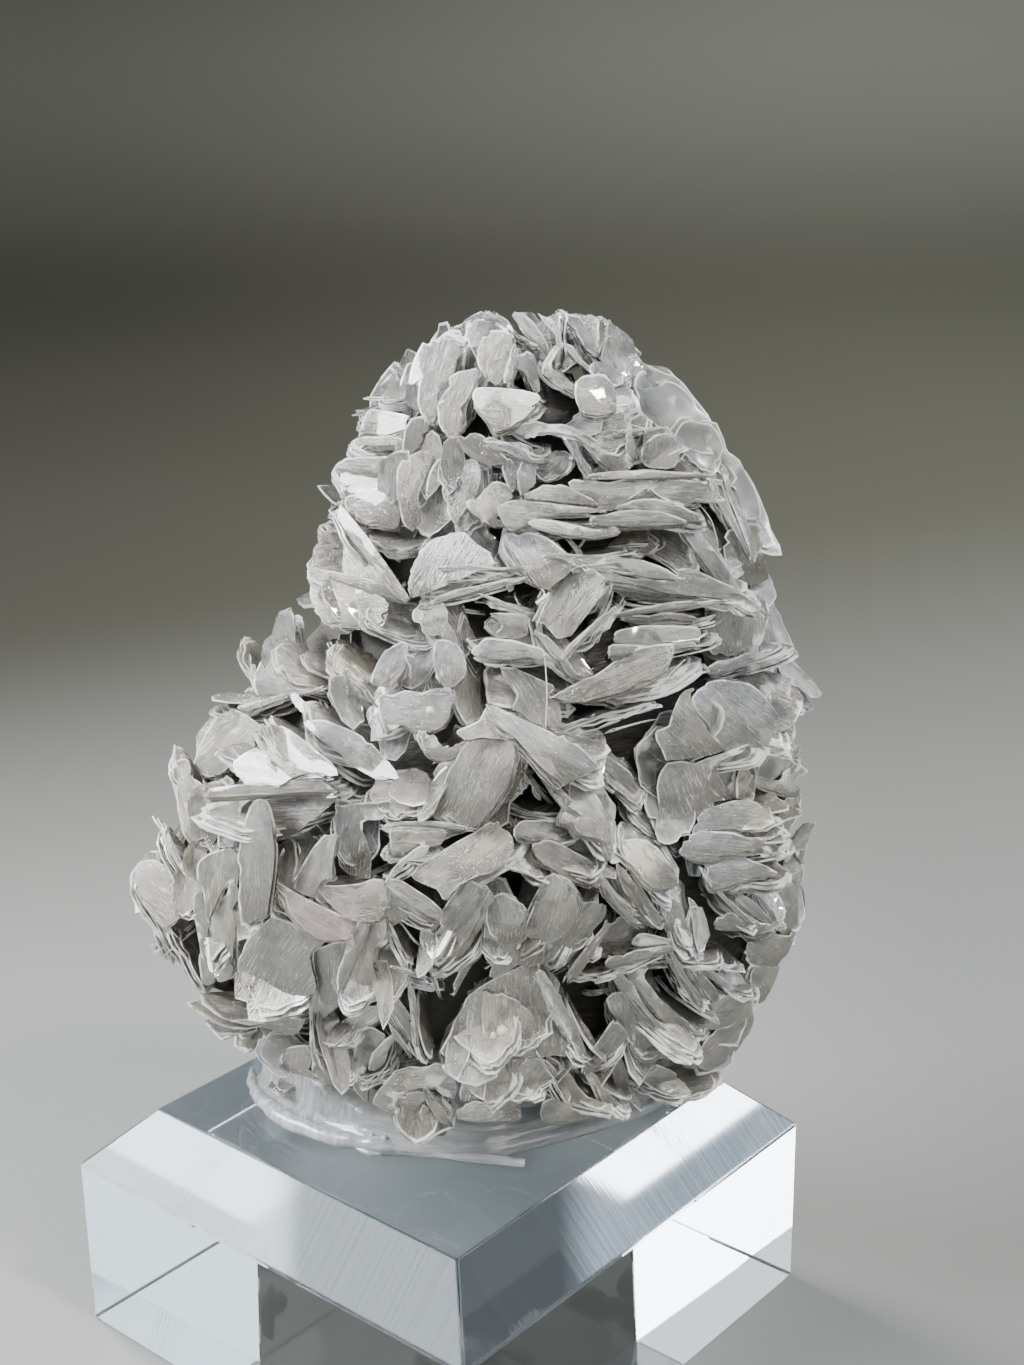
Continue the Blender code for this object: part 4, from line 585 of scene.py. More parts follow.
LOWER_RIGHT_SHEETS = (
    (3.6, 0, 0.2, 88, 3, 0.95, (60, 870, 80, 760, 150, 610, 210, 560, 390, 465, 450, 462, 490, 500, 520, 600,
     640, 800, 660, 860, 640, 880, 540, 860, 420, 880)),
    (4.2, 0, 0.2, 85, 2, 1.05, (215, 800, 225, 620, 245, 575, 350, 600, 420, 650, 465, 710, 450, 780,
     400, 860, 340, 880, 300, 800, 260, 780)),
    (4.8, 0.3, 0, 78, 3, 1.1, (130, 1000, 180, 880, 240, 800, 300, 780, 330, 800, 350, 960, 300, 980,
     240, 1040, 180, 1060, 130, 1060)),
    (4.8, 0, 0, 70, 2, 1, (330, 800, 380, 780, 440, 800, 470, 850, 450, 870, 400, 890, 350, 960)),
    (5.2, 0, 0, 60, 2, 1.1, (365, 980, 380, 920, 420, 880, 480, 870, 540, 900, 560, 960, 450, 1040, 400, 1040,
     370, 1010)),
    (5.2, 0, 0.2, 20, 2, 1.1, (120, 1130, 140, 1080, 200, 1060, 260, 1060, 330, 1000, 380, 1040, 400, 1080,
     390, 1140, 250, 1150)),
    (4.8, 0, 0, -60, 3, 1.35, (470, 490, 500, 490, 640, 720, 690, 870, 670, 900, 480, 540)),
    (4.2, 0, 0, 50, 2, 0.9, (670, 900, 790, 720, 820, 705, 860, 760, 840, 800, 690, 940)),
    (5, 0, 0, -50, 2, 1.25, (670, 910, 700, 920, 740, 960, 830, 1080, 790, 1100, 740, 1050)),
    (5.4, 0, 0, -55, 1, 1.4, (440, 810, 480, 850, 530, 930, 580, 1000, 590, 1040, 540, 980)),
    (4.8, 0, 0, -42, 5, 1, (510, 870, 560, 880, 620, 940, 660, 1000, 720, 1060, 780, 1100, 700, 1100,
     590, 1040)),
    (5, 0, 0.2, 0, 2, 1.05, (480, 1100, 500, 1060, 560, 1040, 600, 1040, 640, 1100, 700, 1130, 620, 1150,
     500, 1150)),
    (4.4, 0, 0, -50, 4, 1.05, (780, 420, 810, 440, 840, 500, 990, 700, 1170, 880, 1160, 920, 1090, 870,
     1020, 800, 800, 490)),
    (4.4, 0, 0, 12, 2, 0.95, (780, 430, 850, 420, 900, 395, 1080, 370, 1060, 400, 800, 470)),
    (4.8, 0, 0, -18, 2, 1.3, (900, 340, 950, 320, 1090, 350, 1160, 390, 1200, 430, 1240, 440, 1180, 440,
     1040, 370, 900, 370)),
    (3.8, 0, 0, -48, 4, 0.95, (840, 480, 900, 460, 960, 470, 940, 520, 1080, 680, 1200, 760, 1180, 800,
     1100, 770, 1020, 700)),
    (4.2, 0, 0, -58, 3, 1.1, (1040, 380, 1070, 400, 1190, 590, 1210, 650, 1180, 620, 1080, 470)),
    (3.6, 0, 0, -52, 3, 0.85, (1100, 400, 1150, 440, 1250, 560, 1270, 610, 1230, 620, 1140, 480)),
    (3.6, 0, 0, -80, 2, 0.9, (775, 610, 900, 590, 1000, 760, 1080, 820, 1100, 880, 1020, 880, 940, 900,
     880, 830, 860, 770)),
    (2.8, -0.2, 0, 45, 2, 0.85, (1170, 880, 1200, 800, 1260, 740, 1330, 720, 1400, 620, 1420, 700, 1380, 790,
     1320, 860, 1250, 910, 1190, 920)),
    (3.2, -0.2, 0, 20, 2, 1.15, (1200, 660, 1240, 620, 1380, 580, 1420, 620, 1400, 680, 1330, 720, 1270, 740,
     1210, 740)),
    (3.4, 0, 0, 30, 1, 0.95, (860, 1080, 940, 940, 940, 900, 1000, 900, 1080, 940, 1060, 1000, 960, 1060)),
    (3, 0, 0, -80, 2, 0.8, (750, 800, 780, 850, 850, 1080, 880, 1080, 880, 960, 830, 820, 850, 760,
     800, 740)),
    (4.6, 0.3, 0, 88, 2, 1.05, (230, 400, 240, 230, 260, 170, 310, 145, 360, 165, 410, 210, 420, 240,
     365, 350, 385, 460, 265, 520, 260, 470)),
    (4.4, 0.4, 0, 65, 3, 1.05, (365, 420, 370, 360, 490, 100, 540, 60, 570, 65, 600, 100, 620, 150, 600, 200,
     560, 250, 490, 380, 470, 460, 390, 465)),
    (4, 0.3, 0, 60, 3, 0.9, (470, 480, 490, 390, 600, 240, 620, 240, 560, 380, 550, 440, 520, 470)),
    (4.2, 0.4, 0, 52, 4, 0.9, (555, 440, 580, 310, 620, 250, 680, 190, 720, 180, 760, 190, 740, 250, 650, 340,
     580, 450)),
    (3.6, 0, 0, 52, 3, 0.95, (590, 520, 750, 290, 780, 265, 770, 300, 640, 500, 610, 530)),
    (2.8, 0, 0, 30, 1, 0.55, (740, 430, 730, 380, 800, 260, 880, 250, 960, 290, 850, 420)),
    (4.4, 0, 0, -48, 3, 1.3, (725, 20, 850, 180, 880, 240, 950, 300, 900, 280, 790, 170, 750, 100)),
    (4, 0, 0, -50, 5, 1, (820, 20, 860, 40, 1020, 270, 980, 280, 880, 170, 840, 100)),
    (3.6, 0, 0, -32, 2, 1.4, (1200, 470, 1240, 480, 1340, 560, 1400, 590, 1410, 610, 1230, 510)),
    (2, -0.4, 0, -60, 2, 1.05, (1410, 480, 1470, 460, 1540, 470, 1470, 620, 1420, 620, 1400, 560)),
)
SHEET_BOARDS = (
    (320, 300, 1.2, CROWN_LEFT_SHEETS),
    (460, 420, 1.2, UPPER_RIGHT_SHEETS),
    (240, 480, 1.2, UPPER_LEFT_SHEETS),
    (380, 660, 1.2, MIDDLE_SHEETS),
    (110, 700, 1.2, LEFT_ARM_SHEETS),
    (580, 640, 1.2, RIGHT_EDGE_SHEETS),
    (240, 880, 2.5, LOWER_LEFT_SHEETS),
    (430, 860, 2.5, LOWER_RIGHT_SHEETS),
)

# How the drawn sheets lie on the swelling front (mm)
SHEET_SEED = 5
SHEET_STAND = 1.0  # how far they stand off it
SHEET_FOLLOW = 0.6  # the share of its slopes that they follow
SHEET_STEEPEST = (1.2, 0.8)  # the steepest slopes that they follow, towards +X and upwards
SHEET_GRID = 1.5  # distance between the points inside a sheet
SHEET_CLEAR = 0.6  # how far these points stay from the edge
SHEET_INSET = 0.24  # width of the rim
SHEET_STEPS = 3  # points of the edge from one corner to the next
SHEET_RAGGED = 0.1  # how far its edge strays
SHEET_FINENESS = 1.3
SHEET_STRAY = 90.0
SHEET_TORN_SHARE = 0.1  # share of the points of the edge that are torn deeper
SHEET_TORN_DEPTH = (0.1, 0.4)
SHEET_RIM_INSIDE = 0.9  # what the rim value is at its inner line
SHEET_RIM_FALL = (0.8, 0.15)  # the most that it is further in, and how fast it falls from the edge
SHEET_THICKNESS = 0.15
SHEET_GAP = 0.2  # from leaf to leaf of one sheet
SHEET_PEEL = 0.22  # how far each leaf slips towards its root
SHEET_CREEP = 0.3  # how much of its slope it also slips along
SHEET_SHRINK = (0.03, 1.5)  # how much smaller each further leaf is, and the most that this is multiplied by
SHEET_SHAKE = 0.1  # how far a leaf strays sideways
SHEET_CURL = (-0.05, 0.12)  # as a share of half the width
SHEET_SWELL = 0.45  # height and size of its soft swellings
SHEET_SWELL_SIZE = 3.5
SHEET_UNLIKE = 3.0  # how much the swellings differ between near and far sheets
# painted shade towards the root of a sheet: its share in the middle, and what half a height up and half a
# width right add
SHEET_ROOT_SHADE = (0.38, -0.85, 0.3)
# painted highlight: the rim of a sheet is whitest on the side that faces the light, and less white on its
# shaded side
SHEET_LIT = Vector((-0.55, 0.83, 0.0))  # the side of a sheet whose rim is whitest
SHEET_SHADED_SIDE_FALL = 0.085  # how much the rim value falls on the other side
SHEET_BRIGHT_FROM = 5.0  # sheets right of this and between these heights are a little paler
SHEET_BRIGHT_HEIGHTS = (52.0, 88.0)
SHEET_BRIGHTER = 1.1

# The leaves that the books are made from: points round a leaf, and its rings as shares of its radius
FLAKE_SIDES = 26
FLAKE_RINGS = (0.6, 0.9)
CHIP_SIDES = 12
CHIP_RINGS = (0.8,)
FLAKE_FAMILIES = 8
FLAKE_SISTERS = 3  # leaves of one family, which differ in their nicks alone
FLAKE_SHAPE_SEED = 100
FLAKE_WEAR_SEED = 1000
FLAKE_CORNERS = (4, 5, 6, 7)
FLAKE_UNEVEN = 0.33  # how far a side strays from its even place, as a share of the step between sides
FLAKE_REACH = (0.7, 0.98)  # how far out the sides lie
FLAKE_LONGEST = 1.16  # the most that a corner reaches
FLAKE_ROUNDNESS = 13.0  # lower is rounder
FLAKE_WEAR = 0.06
FLAKE_NICK_SHARE = 0.14  # share of the points that are nicked, and how deep
FLAKE_NICK = (0.06, 0.18)

# The books that the leaves form (mm)
BOOK_SEED = 3
BOOK_PITCH = 0.18  # thickness of a book for each of its leaves
BOOK_TONES = (0.88, 1.06)
BOOK_BENDS = ((-0.5, 0.9), (-0.6, 0.9))  # along and across, as multiples of the shares that follow
BOOK_BEND_SHARES = (0.09, 0.12)
BOOK_TAPER = 0.8  # how much of the uneven size runs evenly through a book
PLATE_GROWTH = 1.12  # how much wider the leaves are than the solid plates, so that they overlap
CLEAR_LEAVES = 2
CLEAR_THICKER = 1.6  # leaf thickness of the clear plates over that of the others
ROOT_TIGHTNESS = 0.45  # how much thinner a book is at its root than at its free edge
LEAF_SHAKE = (1.0, 1.0, 6.0)  # the most that a leaf turns about each axis, as multiples of Wander
SWELL_SIZE = 7.0
RIPPLE_SIZE = 2.2
NICK_SIZE = 0.9
UPPER_FROM = 66.0  # height from which the books of the front are a piece of their own

# Places in PLATES of the books that are clear (across, up)
CLEAR_PLACES = (
    (21.8, 90.4), (23.9, 87.2), (27.8, 82.2), (29.4, 74.6), (31.0, 70.4), (22.0, 53.8), (20.4, 57.6),
    (-7.2, 51.2), (23.0, 60.6), (28.2, 31.4), (26.6, 27.6), (-14.6, 28.0), (33.4, 43.6),
)

# Dark hollows that no small leaf closes: across, up, radius
HOLLOWS = (
    (13.0, 94.5, 1.8), (12.8, 91.0, 1.8), (9.0, 93.0, 1.4), (19.0, 79.8, 1.6), (22.0, 79.6, 1.4),
    (18.5, 73.8, 1.6), (22.5, 73.4, 1.6), (17.5, 61.0, 2.6), (20.0, 62.5, 2.0), (12.8, 71.5, 2.2),
    (12.5, 68.0, 1.8), (-8.0, 47.5, 2.2), (-23.3, 45.5, 1.6), (3.0, 36.0, 2.0), (13.0, 34.5, 2.2),
    (-1.5, 35.0, 1.6), (25.5, 43.0, 2.4), (29.7, 57.2, 1.4), (15.0, 43.5, 1.6), (20.5, 45.0, 1.8),
    (-11.5, 46.5, 1.6), (6.5, 59.5, 1.6),
)

# Loose thin leaves round the books of the front
FRINGE_SEED = 8
FRINGE_COUNTS = (0, 1, 1, 2, 3)
FRINGE_SCALES = (0.65, 1.05)  # size over that of the book
FRINGE_WIDTHS = (0.7, 1.1)
FRINGE_THICKNESSES = (0.1, 0.2, 0.3)
FRINGE_TILTS = (8.0, 86.0)
FRINGE_STEEPER = (5.0, 8.0)  # mean and spread of how much more a leaf tilts than its book
FRINGE_TURN = 13.0
FRINGE_ALONG = (-0.4, 0.4)  # shift along and across, as shares of the book's size
FRINGE_ASIDE = (-0.12, 0.4)
FRINGE_OFF = (0.0, 0.6)  # how far off the face of the book
FRINGE_TONE = 1.04

# Small books in the gaps of the front
CHIP_SEED = 5
CHIP_COUNT = 260
CHIP_HEIGHTS = (24.0, 96.5)
CHIP_MARGIN = 1.0
CHIP_LENGTHS = (4.0, 8.5)
CHIP_WIDTHS = (0.5, 0.85)  # as a share of the length
CHIP_THICKNESSES = (0.2, 0.7)
CHIP_TURN = 22.0
CHIP_TILTS = (50.0, 84.0)
CHIP_STEEPER = (12.0, 12.0)  # mean and spread, as for the fringe
CHIP_SUNK = (-5.0, -1.4)  # how far forward of the neighbour, so they all lie behind it
# painted shade: the small books in the gaps are darker than the others
CHIP_SHADE_TONE = 0.62

# Back of the cluster, by the same rule as its solid
BACK_SEED = 11
BACK_ROWS = (  # height on the layout plane, number of plates
    (35.5, 8), (43.0, 9), (51.0, 9), (59.0, 8), (67.0, 7), (75.0, 6), (83.0, 5), (90.0, 4), (95.5, 2),
)
BACK_LENGTH = (10.0, 14.5)
BACK_THICKNESS = (1.1, 1.8)
BACK_WIDTH = (0.6, 0.85)
BACK_REACH = 0.94  # share of the cluster's half width, and of its depth
BACK_DEPTH = 0.85
BACK_PROUD = 0.8
BACK_RISE = 0.2
BACK_ARC = (-0.06, 1.06)  # half turns from +X
BACK_LEANS = (26, 34, 42, 50, 58)
BACK_TURN = 70.0
BACK_SCATTER = 0.15
BACK_CLIMB = 2.0
BACK_START = (0.25, 0.75)
BACK_SHAPES = 8  # outlines that the solid plates pick from

# The small and the middling books between them: seed, count, then ranges of length,
# width over length, thickness, tilt and how far they stand proud, and tone
BACK_CHIPS = (6, 130, (3.5, 8.0), (0.55, 0.85), (0.4, 1.2), (25.0, 75.0), (-0.9, 1.6), 0.98)
BACK_FILL = (4, 170, (7.5, 12.5), (0.6, 0.9), (0.5, 1.1), (16.0, 48.0), (-1.4, 0.6), 0.9)
SCATTER_FROM = 27.5  # lowest height, and how far up they go
SCATTER_HEIGHT = 68.0
SCATTER_ARC = (1.1, 0.05)  # half turns that they spread over, and how many of these lie before +X
SCATTER_REACH = 0.91
SCATTER_TURN = 80.0
GOLDEN_SHARE = 0.618

# Fibres caught on the mica: across, up and how far out along each
FIBRES = (
    ((10.5, 68.2, 3.4), (10.7, 64.5, 3.8), (10.5, 60.8, 3.2)),
    ((26.6, 71.4, 2.6), (28.4, 73.4, 3.2), (30.3, 74.2, 2.2)),
    ((20.8, 64.8, 3.2), (22.0, 66.4, 3.6), (23.2, 67.6, 3.0)),
    ((-20.6, 59.7, 1.0), (-19.0, 63.0, 1.6), (-15.3, 64.6, 1.2)),
    ((24.0, 82.4, 2.4), (25.4, 80.6, 2.8), (26.0, 78.2, 2.2)),
)
FIBRE_RADIUS = 0.055
FIBRE_SIDES = 5
# crumbs: across, up, how far out, radius
CRUMBS = ((0.0, 63.0, 3.2, 0.42), (6.0, 30.0, 4.2, 0.6), (22.8, 41.3, 3.6, 0.4), (5.2, 29.6, 4.2, 0.35))
CRUMB_LUMPS = 0.5
CRUMB_FINENESS = 3.0
BLUSH_PLACE = (-10.8, 42.0)  # the pink stain: across, up
BLUSH_OUT = 3.0

# The dark inside of the cluster: heights of its rings, and its size as a share of the envelope
HEART_HEIGHTS = (27.5, 34.0, 40.0, 46.0, 52.0, 58.0, 63.0, 68.0, 73.0, 78.0, 83.0, 88.0, 92.5)
HEART_SIDES = 40
HEART_SHRINK = 0.86
HEART_FRONT = 0.8
HEART_BACK = 0.6
HEART_LIFT = 1.0  # how far over the base of the foot its lowest points stay
HEART_LUMPS = 1.6
HEART_LUMP_SIZE = 5.0
HEART_SEED = 4  # without it the lumps would differ from run to run

# The resin foot (mm)
FOOT_BASE = 23.65
FOOT_OUTLINE = (
    (-18.3, 1.5), (-17.3, -1.6), (-14.3, -5.2), (-10.0, -8.6), (-5.0, -11.4),
    (0.6, -12.6), (6.0, -12.6), (10.8, -10.6), (15.6, -8.4), (19.8, -5.6),
    (22.8, -2.0), (23.4, 2.2), (20.4, 6.6), (15.2, 10.0), (8.6, 12.0),
    (1.2, 12.4), (-6.2, 11.2), (-12.4, 8.8), (-16.8, 5.4),
)
FOOT_OUTLINE_STEPS = 6
# inset from the outline and height over the block of each ring
FOOT_PROFILE = (
    (0.9, 0.0), (0.35, 0.12), (0.02, 0.5), (0.0, 0.9), (0.3, 1.3),
    (0.75, 1.7), (1.0, 2.3), (1.2, 2.9), (1.9, 3.3), (3.2, 3.4),
)
FOOT_RIPPLE = 0.16
FOOT_RIPPLE_SIZE = 3.0
# where the resin climbs the cluster most (x, y), how far round it and how high, the height over
# the block from which it does, the height over which it grows, and how much it spreads
SKIRT_PLACE = (-14.0, -3.0)
SKIRT_REACH = 6.0
SKIRT_HEIGHT = 2.4
SKIRT_FROM = 1.2
SKIRT_OVER = 1.9
SKIRT_FLARE = 0.1
# the rolled lip of the foot, which ends in a stray thread, and the knots on it: x, y, z, radius
RESIN_LIP = (
    (-18.7, 3.0, 24.6, 0.33), (-18.5, 0.6, 24.5, 0.59), (-17.5, -2.1, 24.4, 0.72),
    (-15.6, -5.0, 24.3, 0.78), (-13.0, -7.4, 24.3, 0.81), (-10.0, -9.2, 24.3, 0.78),
    (-7.4, -10.3, 24.3, 0.72), (-5.4, -11.0, 24.35, 0.98), (-3.6, -11.2, 24.2, 0.65),
    (0.2, -12.0, 24.1, 0.55), (3.9, -12.9, 24.05, 0.49), (8.0, -13.7, 24.0, 0.39),
)
RESIN_BEADS = (
    ((-6.4, -10.3, 24.5, 0.3), (-6.1, -10.3, 24.9, 0.5), (-5.9, -10.4, 25.2, 0.25)),
    ((-5.2, -10.9, 24.5, 0.3), (-4.9, -10.9, 24.95, 0.55), (-4.7, -11.0, 25.3, 0.25)),
    ((-7.6, -10.7, 24.0, 0.2), (-6.3, -11.6, 23.95, 0.32), (-5.2, -11.8, 23.95, 0.2)),
)
LIP_SIDES = 12
BEAD_SIDES = 8
THREAD_STEPS = 5
THREAD_LUMPS = 0.3
THREAD_LUMP_SIZE = 1.1

# The clear block (mm)
BLOCK_SIDE = 50.0
BLOCK_TOP = 23.35
BLOCK_BEVEL = 5.65
BLOCK_TURN = 49.3  # degrees about Z
BEVEL_UPRIGHT = (0.6, 0.8)  # between these the upward share of a normal marks a bevel

# The camera (its lens and sensor in mm, its turns in degrees) and the light
CAMERA_LENS = 54.07
CAMERA_SENSOR = 36.0
CAMERA_PITCH = 70.87
CAMERA_ROLL = -0.87
CAMERA_CLIP = 0.01  # m
WORLD_COLOUR = (0.9, 0.96, 1.0, 1.0)
WORLD_STRENGTH = 0.19
LAMP_AIM = (0.0, 0.0, 0.055)  # m
# name, azimuth and elevation from the specimen (degrees, 0 is behind it and 90 is +X), distance (m),
# size (m), power (W), tint
LAMPS = (
    ("key", -98.0, 34.0, 0.75, (0.42, 0.3), 12.0, (0.92, 0.965, 1.0)),
    ("sill", -93.0, 9.0, 0.8, (0.5, 0.26), 0.6, (0.95, 0.98, 1.0)),
    ("sky", 86.0, 28.0, 0.8, (0.75, 0.75), 3.5, (0.78, 0.9, 1.0)),
    ("crown", -48.0, 60.0, 0.75, (0.12, 0.12), 6.0, (1.0, 0.985, 0.96)),
    ("brow", -168.0, 70.0, 0.8, (0.3, 0.14), 1.6, (1.0, 1.0, 1.0)),
    ("spark", 132.0, 52.0, 0.75, (0.08, 0.08), 4.6, (1.0, 0.99, 0.96)),
    ("fill", 150.0, 36.0, 0.8, (0.5, 0.4), 2.0, (1.0, 0.98, 0.95)),
)

# The sweep behind: how far back it starts to curve, the curve's radius, its height, half its width,
# its front edge, and how far its flat part lies under the block (m)
SWEEP_START = 0.4
SWEEP_RADIUS = 2.8
SWEEP_HEIGHT = 3.2
SWEEP_HALF_WIDTH = 3.0
SWEEP_FRONT = -5.0
SWEEP_DROP = 0.05 * MM
SWEEP_STEPS = 24


def sweep_mesh():
    """The plain floor, which curves up behind the specimen; its flat part lies just under the block."""
    profile = [(SWEEP_FRONT, 0.0)]
    for step in range(SWEEP_STEPS + 1):
        angle = math.pi / 2 * step / SWEEP_STEPS
        profile.append((SWEEP_START + SWEEP_RADIUS * math.sin(angle), SWEEP_RADIUS * (1 - math.cos(angle))))
    profile.append((SWEEP_START + SWEEP_RADIUS, SWEEP_HEIGHT))
    sides = (-SWEEP_HALF_WIDTH, SWEEP_HALF_WIDTH)
    points = [(side, y, z - SWEEP_DROP) for y, z in profile for side in sides]
    faces = [(2 * i, 2 * i + 1, 2 * i + 3, 2 * i + 2) for i in range(len(profile) - 1)]
    mesh = bpy.data.meshes.new("floor")
    mesh.from_pydata(points, [], faces)
    mesh.shade_smooth()
    return mesh


def smooth_loop(corners, steps):
    """Points of a smooth closed curve through the corners."""
    points = []
    count = len(corners)
    for i in range(count):
        p0, p1, p2, p3 = (Vector(corners[(i + k) % count]) for k in (-1, 0, 1, 2))
        for step in range(steps):
            t = step / steps
            points.append(
                0.5 * (2 * p1 + (p2 - p0) * t + (2 * p0 - 5 * p1 + 4 * p2 - p3) * t * t
                       + (3 * p1 - p0 - 3 * p2 + p3) * t ** 3)
            )
    return points


def held(value, least, most):
    """A value kept between two others."""
    return max(least, min(most, value))


def close_rings(shape, rings):
    """Joins rings of points into a tube and closes its two ends."""
    count = len(rings[0])
    for low, high in zip(rings, rings[1:]):
        for i in range(count):
            j = (i + 1) % count
            shape.faces.new((low[i], low[j], high[j], high[i]))
    shape.faces.new(rings[0][::-1])
    shape.faces.new(rings[-1])


def thread(shape, path, sides):
    """A closed lumpy strand through points that each give x, y, z and a radius (mm)."""
    points = []
    for start, end in zip(path, path[1:]):
        points += [Vector(start).lerp(Vector(end), i / THREAD_STEPS) for i in range(THREAD_STEPS)]
    points.append(Vector(path[-1]))
    for _ in range(2):
        eased = [(a + b * 2 + c) / 4 for a, b, c in zip(points, points[1:], points[2:])]
        points = [points[0], *eased, points[-1]]
    rings = []
    for i, (x, y, z, radius) in enumerate(points):
        before, after = points[max(0, i - 1)], points[min(len(points) - 1, i + 1)]
        ahead = (after - before).xyz.normalized()
        aside = ahead.cross((0.0, 0.0, 1.0)).normalized()
        above = aside.cross(ahead)
        ring = []
        for k in range(sides):
            angle = 2 * math.pi * k / sides
            outward = aside * math.cos(angle) + above * math.sin(angle)
            centre = Vector((x, y, z))
            lump = noise.noise((centre + outward) / THREAD_LUMP_SIZE)
            reach = radius * (1.0 + THREAD_LUMPS * lump)
            ring.append(shape.verts.new(centre + outward * reach))
        rings.append(ring)
    close_rings(shape, rings)


def skirt_rise(x, y):
    """How much higher the resin climbs the cluster, most on the left of the front."""
    across, deep = SKIRT_PLACE
    away = ((x - across) / SKIRT_REACH) ** 2 + ((y - deep) / SKIRT_REACH) ** 2
    return SKIRT_HEIGHT * math.exp(-away)


# Node trees

class Field:
    """An output of a node, on which sums are written as plain Python."""

    def __init__(self, graph, socket):
        self.graph = graph
        self.socket = socket

    def _math(self, operation, *values):
        return self.graph.add("ShaderNodeMath", {"operation": operation}, dict(enumerate(values)))

    def __add__(self, other):
        return self._math("ADD", self, other)

    __radd__ = __add__

    def __sub__(self, other):
        return self._math("SUBTRACT", self, other)

    def __rsub__(self, other):
        return self._math("SUBTRACT", other, self)

    def __mul__(self, other):
        return self._math("MULTIPLY", self, other)

    __rmul__ = __mul__

    def __truediv__(self, other):
        return self._math("DIVIDE", self, other)

    def clamped(self):
        """The same value, held between 0 and 1."""
        settings = {"operation": "ADD", "use_clamp": True}
        return self.graph.add("ShaderNodeMath", settings, {0: self, 1: 0.0})

    def over(self, least, most):
        """0 at or under least, 1 at or over most, and smooth between them."""
        inputs = {0: self, 1: least, 2: most, 3: 0.0, 4: 1.0}
        return self.graph.add("ShaderNodeMapRange", {"interpolation_type": "SMOOTHSTEP"}, inputs)

    def floored(self):
        return self._math("FLOOR", self)

    def sine(self):
        return self._math("SINE", self)

    def output(self, name):
        """Another output of the same node."""
        return Field(self.graph, self.socket.node.outputs[name])


class Graph:
    """Adds nodes to a tree, for a material or for geometry."""

    def __init__(self, tree):
        self.tree = tree
        tree.nodes.clear()

    def add(self, kind, settings=(), inputs=(), out=0):
        """A node of this type, its settings first and then its sockets' values or links."""
        node = self.tree.nodes.new(kind)
        for name, value in dict(settings).items():
            setattr(node, name, value)
        for key, value in dict(inputs).items():
            if isinstance(value, Field):
                self.tree.links.new(value.socket, node.inputs[key])
            else:
                node.inputs[key].default_value = value
        return Field(self, node.outputs[out]) if node.outputs else node

    def mix(self, factor, first, second):
        """Two colours mixed by a factor."""
        inputs = {0: factor, 6: first, 7: second}
        return self.add("ShaderNodeMix", {"data_type": "RGBA"}, inputs, out=2)

    def scaled(self, shade, factor):
        """A colour made darker or lighter by a factor."""
        first = shade if isinstance(shade, Field) else shade[:3]
        return self.vector("SCALE", first, Scale=factor)

    def vector(self, operation, *values, **named):
        """A sum on vectors."""
        inputs = {**dict(enumerate(values)), **named}
        return self.add("ShaderNodeVectorMath", {"operation": operation}, inputs)

    def attribute(self, name, out="Fac"):
        """A stored attribute, in a material."""
        return self.add("ShaderNodeAttribute", {"attribute_name": name}, out=out)

    def noise(self, where, scale, detail=2.0, roughness=0.5, out=0):
        """Soft noise from 0 to 1, or a colour of it."""
        inputs = {"Vector": where, "Scale": scale, "Detail": detail, "Roughness": roughness}
        return self.add("ShaderNodeTexNoise", inputs=inputs, out=out)

    def split(self, vector):
        """The x, y and z of a vector."""
        x = self.add("ShaderNodeSeparateXYZ", inputs={0: vector})
        return x, x.output("Y"), x.output("Z")

    def joined(self, x=0.0, y=0.0, z=0.0):
        """The vector of an x, a y and a z."""
        return self.add("ShaderNodeCombineXYZ", inputs={0: x, 1: y, 2: z})

    def bump(self, strength, distance, height):
        """A bump of a height, over a distance in millimetres, for Normal."""
        inputs = {"Strength": strength, "Distance": distance * MM, "Height": height}
        return self.add("ShaderNodeBump", inputs=inputs)

    def stretched(self, where, stretch):
        """A place scaled by its own factor each way."""
        return self.add("ShaderNodeMapping", inputs={"Vector": where, "Scale": stretch})

    def named(self, name, kind="FLOAT"):
        """A stored attribute, in a geometry tree."""
        return self.add("GeometryNodeInputNamedAttribute", {"data_type": kind}, {"Name": name})

    def chance(self, least, most, seed, kind="FLOAT"):
        """A random number, vector or whole number for each element."""
        first, out = {"FLOAT_VECTOR": (0, 0), "FLOAT": (2, 1), "INT": (4, 2)}[kind]
        inputs = {first: least, first + 1: most, "Seed": seed}
        return self.add("FunctionNodeRandomValue", {"data_type": kind}, inputs, out)

    def store(self, geometry, name, value, kind="FLOAT"):
        """A geometry whose points keep a value under a name."""
        settings = {"data_type": kind, "domain": "POINT"}
        inputs = {"Geometry": geometry, "Name": name, "Value": value}
        return self.add("GeometryNodeStoreNamedAttribute", settings, inputs)


def new_material(name):
    """A material, the graph of its nodes, and the place on the piece (m)."""
    made = bpy.data.materials.new(name)
    made.use_nodes = True
    graph = Graph(made.node_tree)
    return made, graph, graph.add("ShaderNodeTexCoord", out="Object")


def principled(graph, **inputs):
    """A Principled shader; the sockets' names are given with _ for a space."""
    named = {name.replace("_", " "): value for name, value in inputs.items()}
    return graph.add("ShaderNodeBsdfPrincipled", inputs=named)


def finish_material(graph, shader):
    """Gives the material its surface."""
    graph.add("ShaderNodeOutputMaterial", inputs={"Surface": shader})


def colour(value):
    """A colour with the alpha that its socket wants."""
    return (*value[:3], 1.0)


def spots(size):
    """The scale of a noise whose spots have a size in millimetres."""
    return 1 / (size * MM)


# Layout

def envelope(up):
    """Left edge, right edge and front depth of the cluster at a height on the layout plane."""
    return tuple(float(np.interp(up, ENVELOPE_TABLE[:, 0], ENVELOPE_TABLE[:, i])) for i in (1, 2, 3))


def depth_at(across, up):
    """How far the swelling front stands off the layout plane."""
    left, right, depth = envelope(up)
    share = (across - (left + right) / 2) / ((right - left) / 2)
    return depth * math.sqrt(max(0.0, 1.0 - share * share))


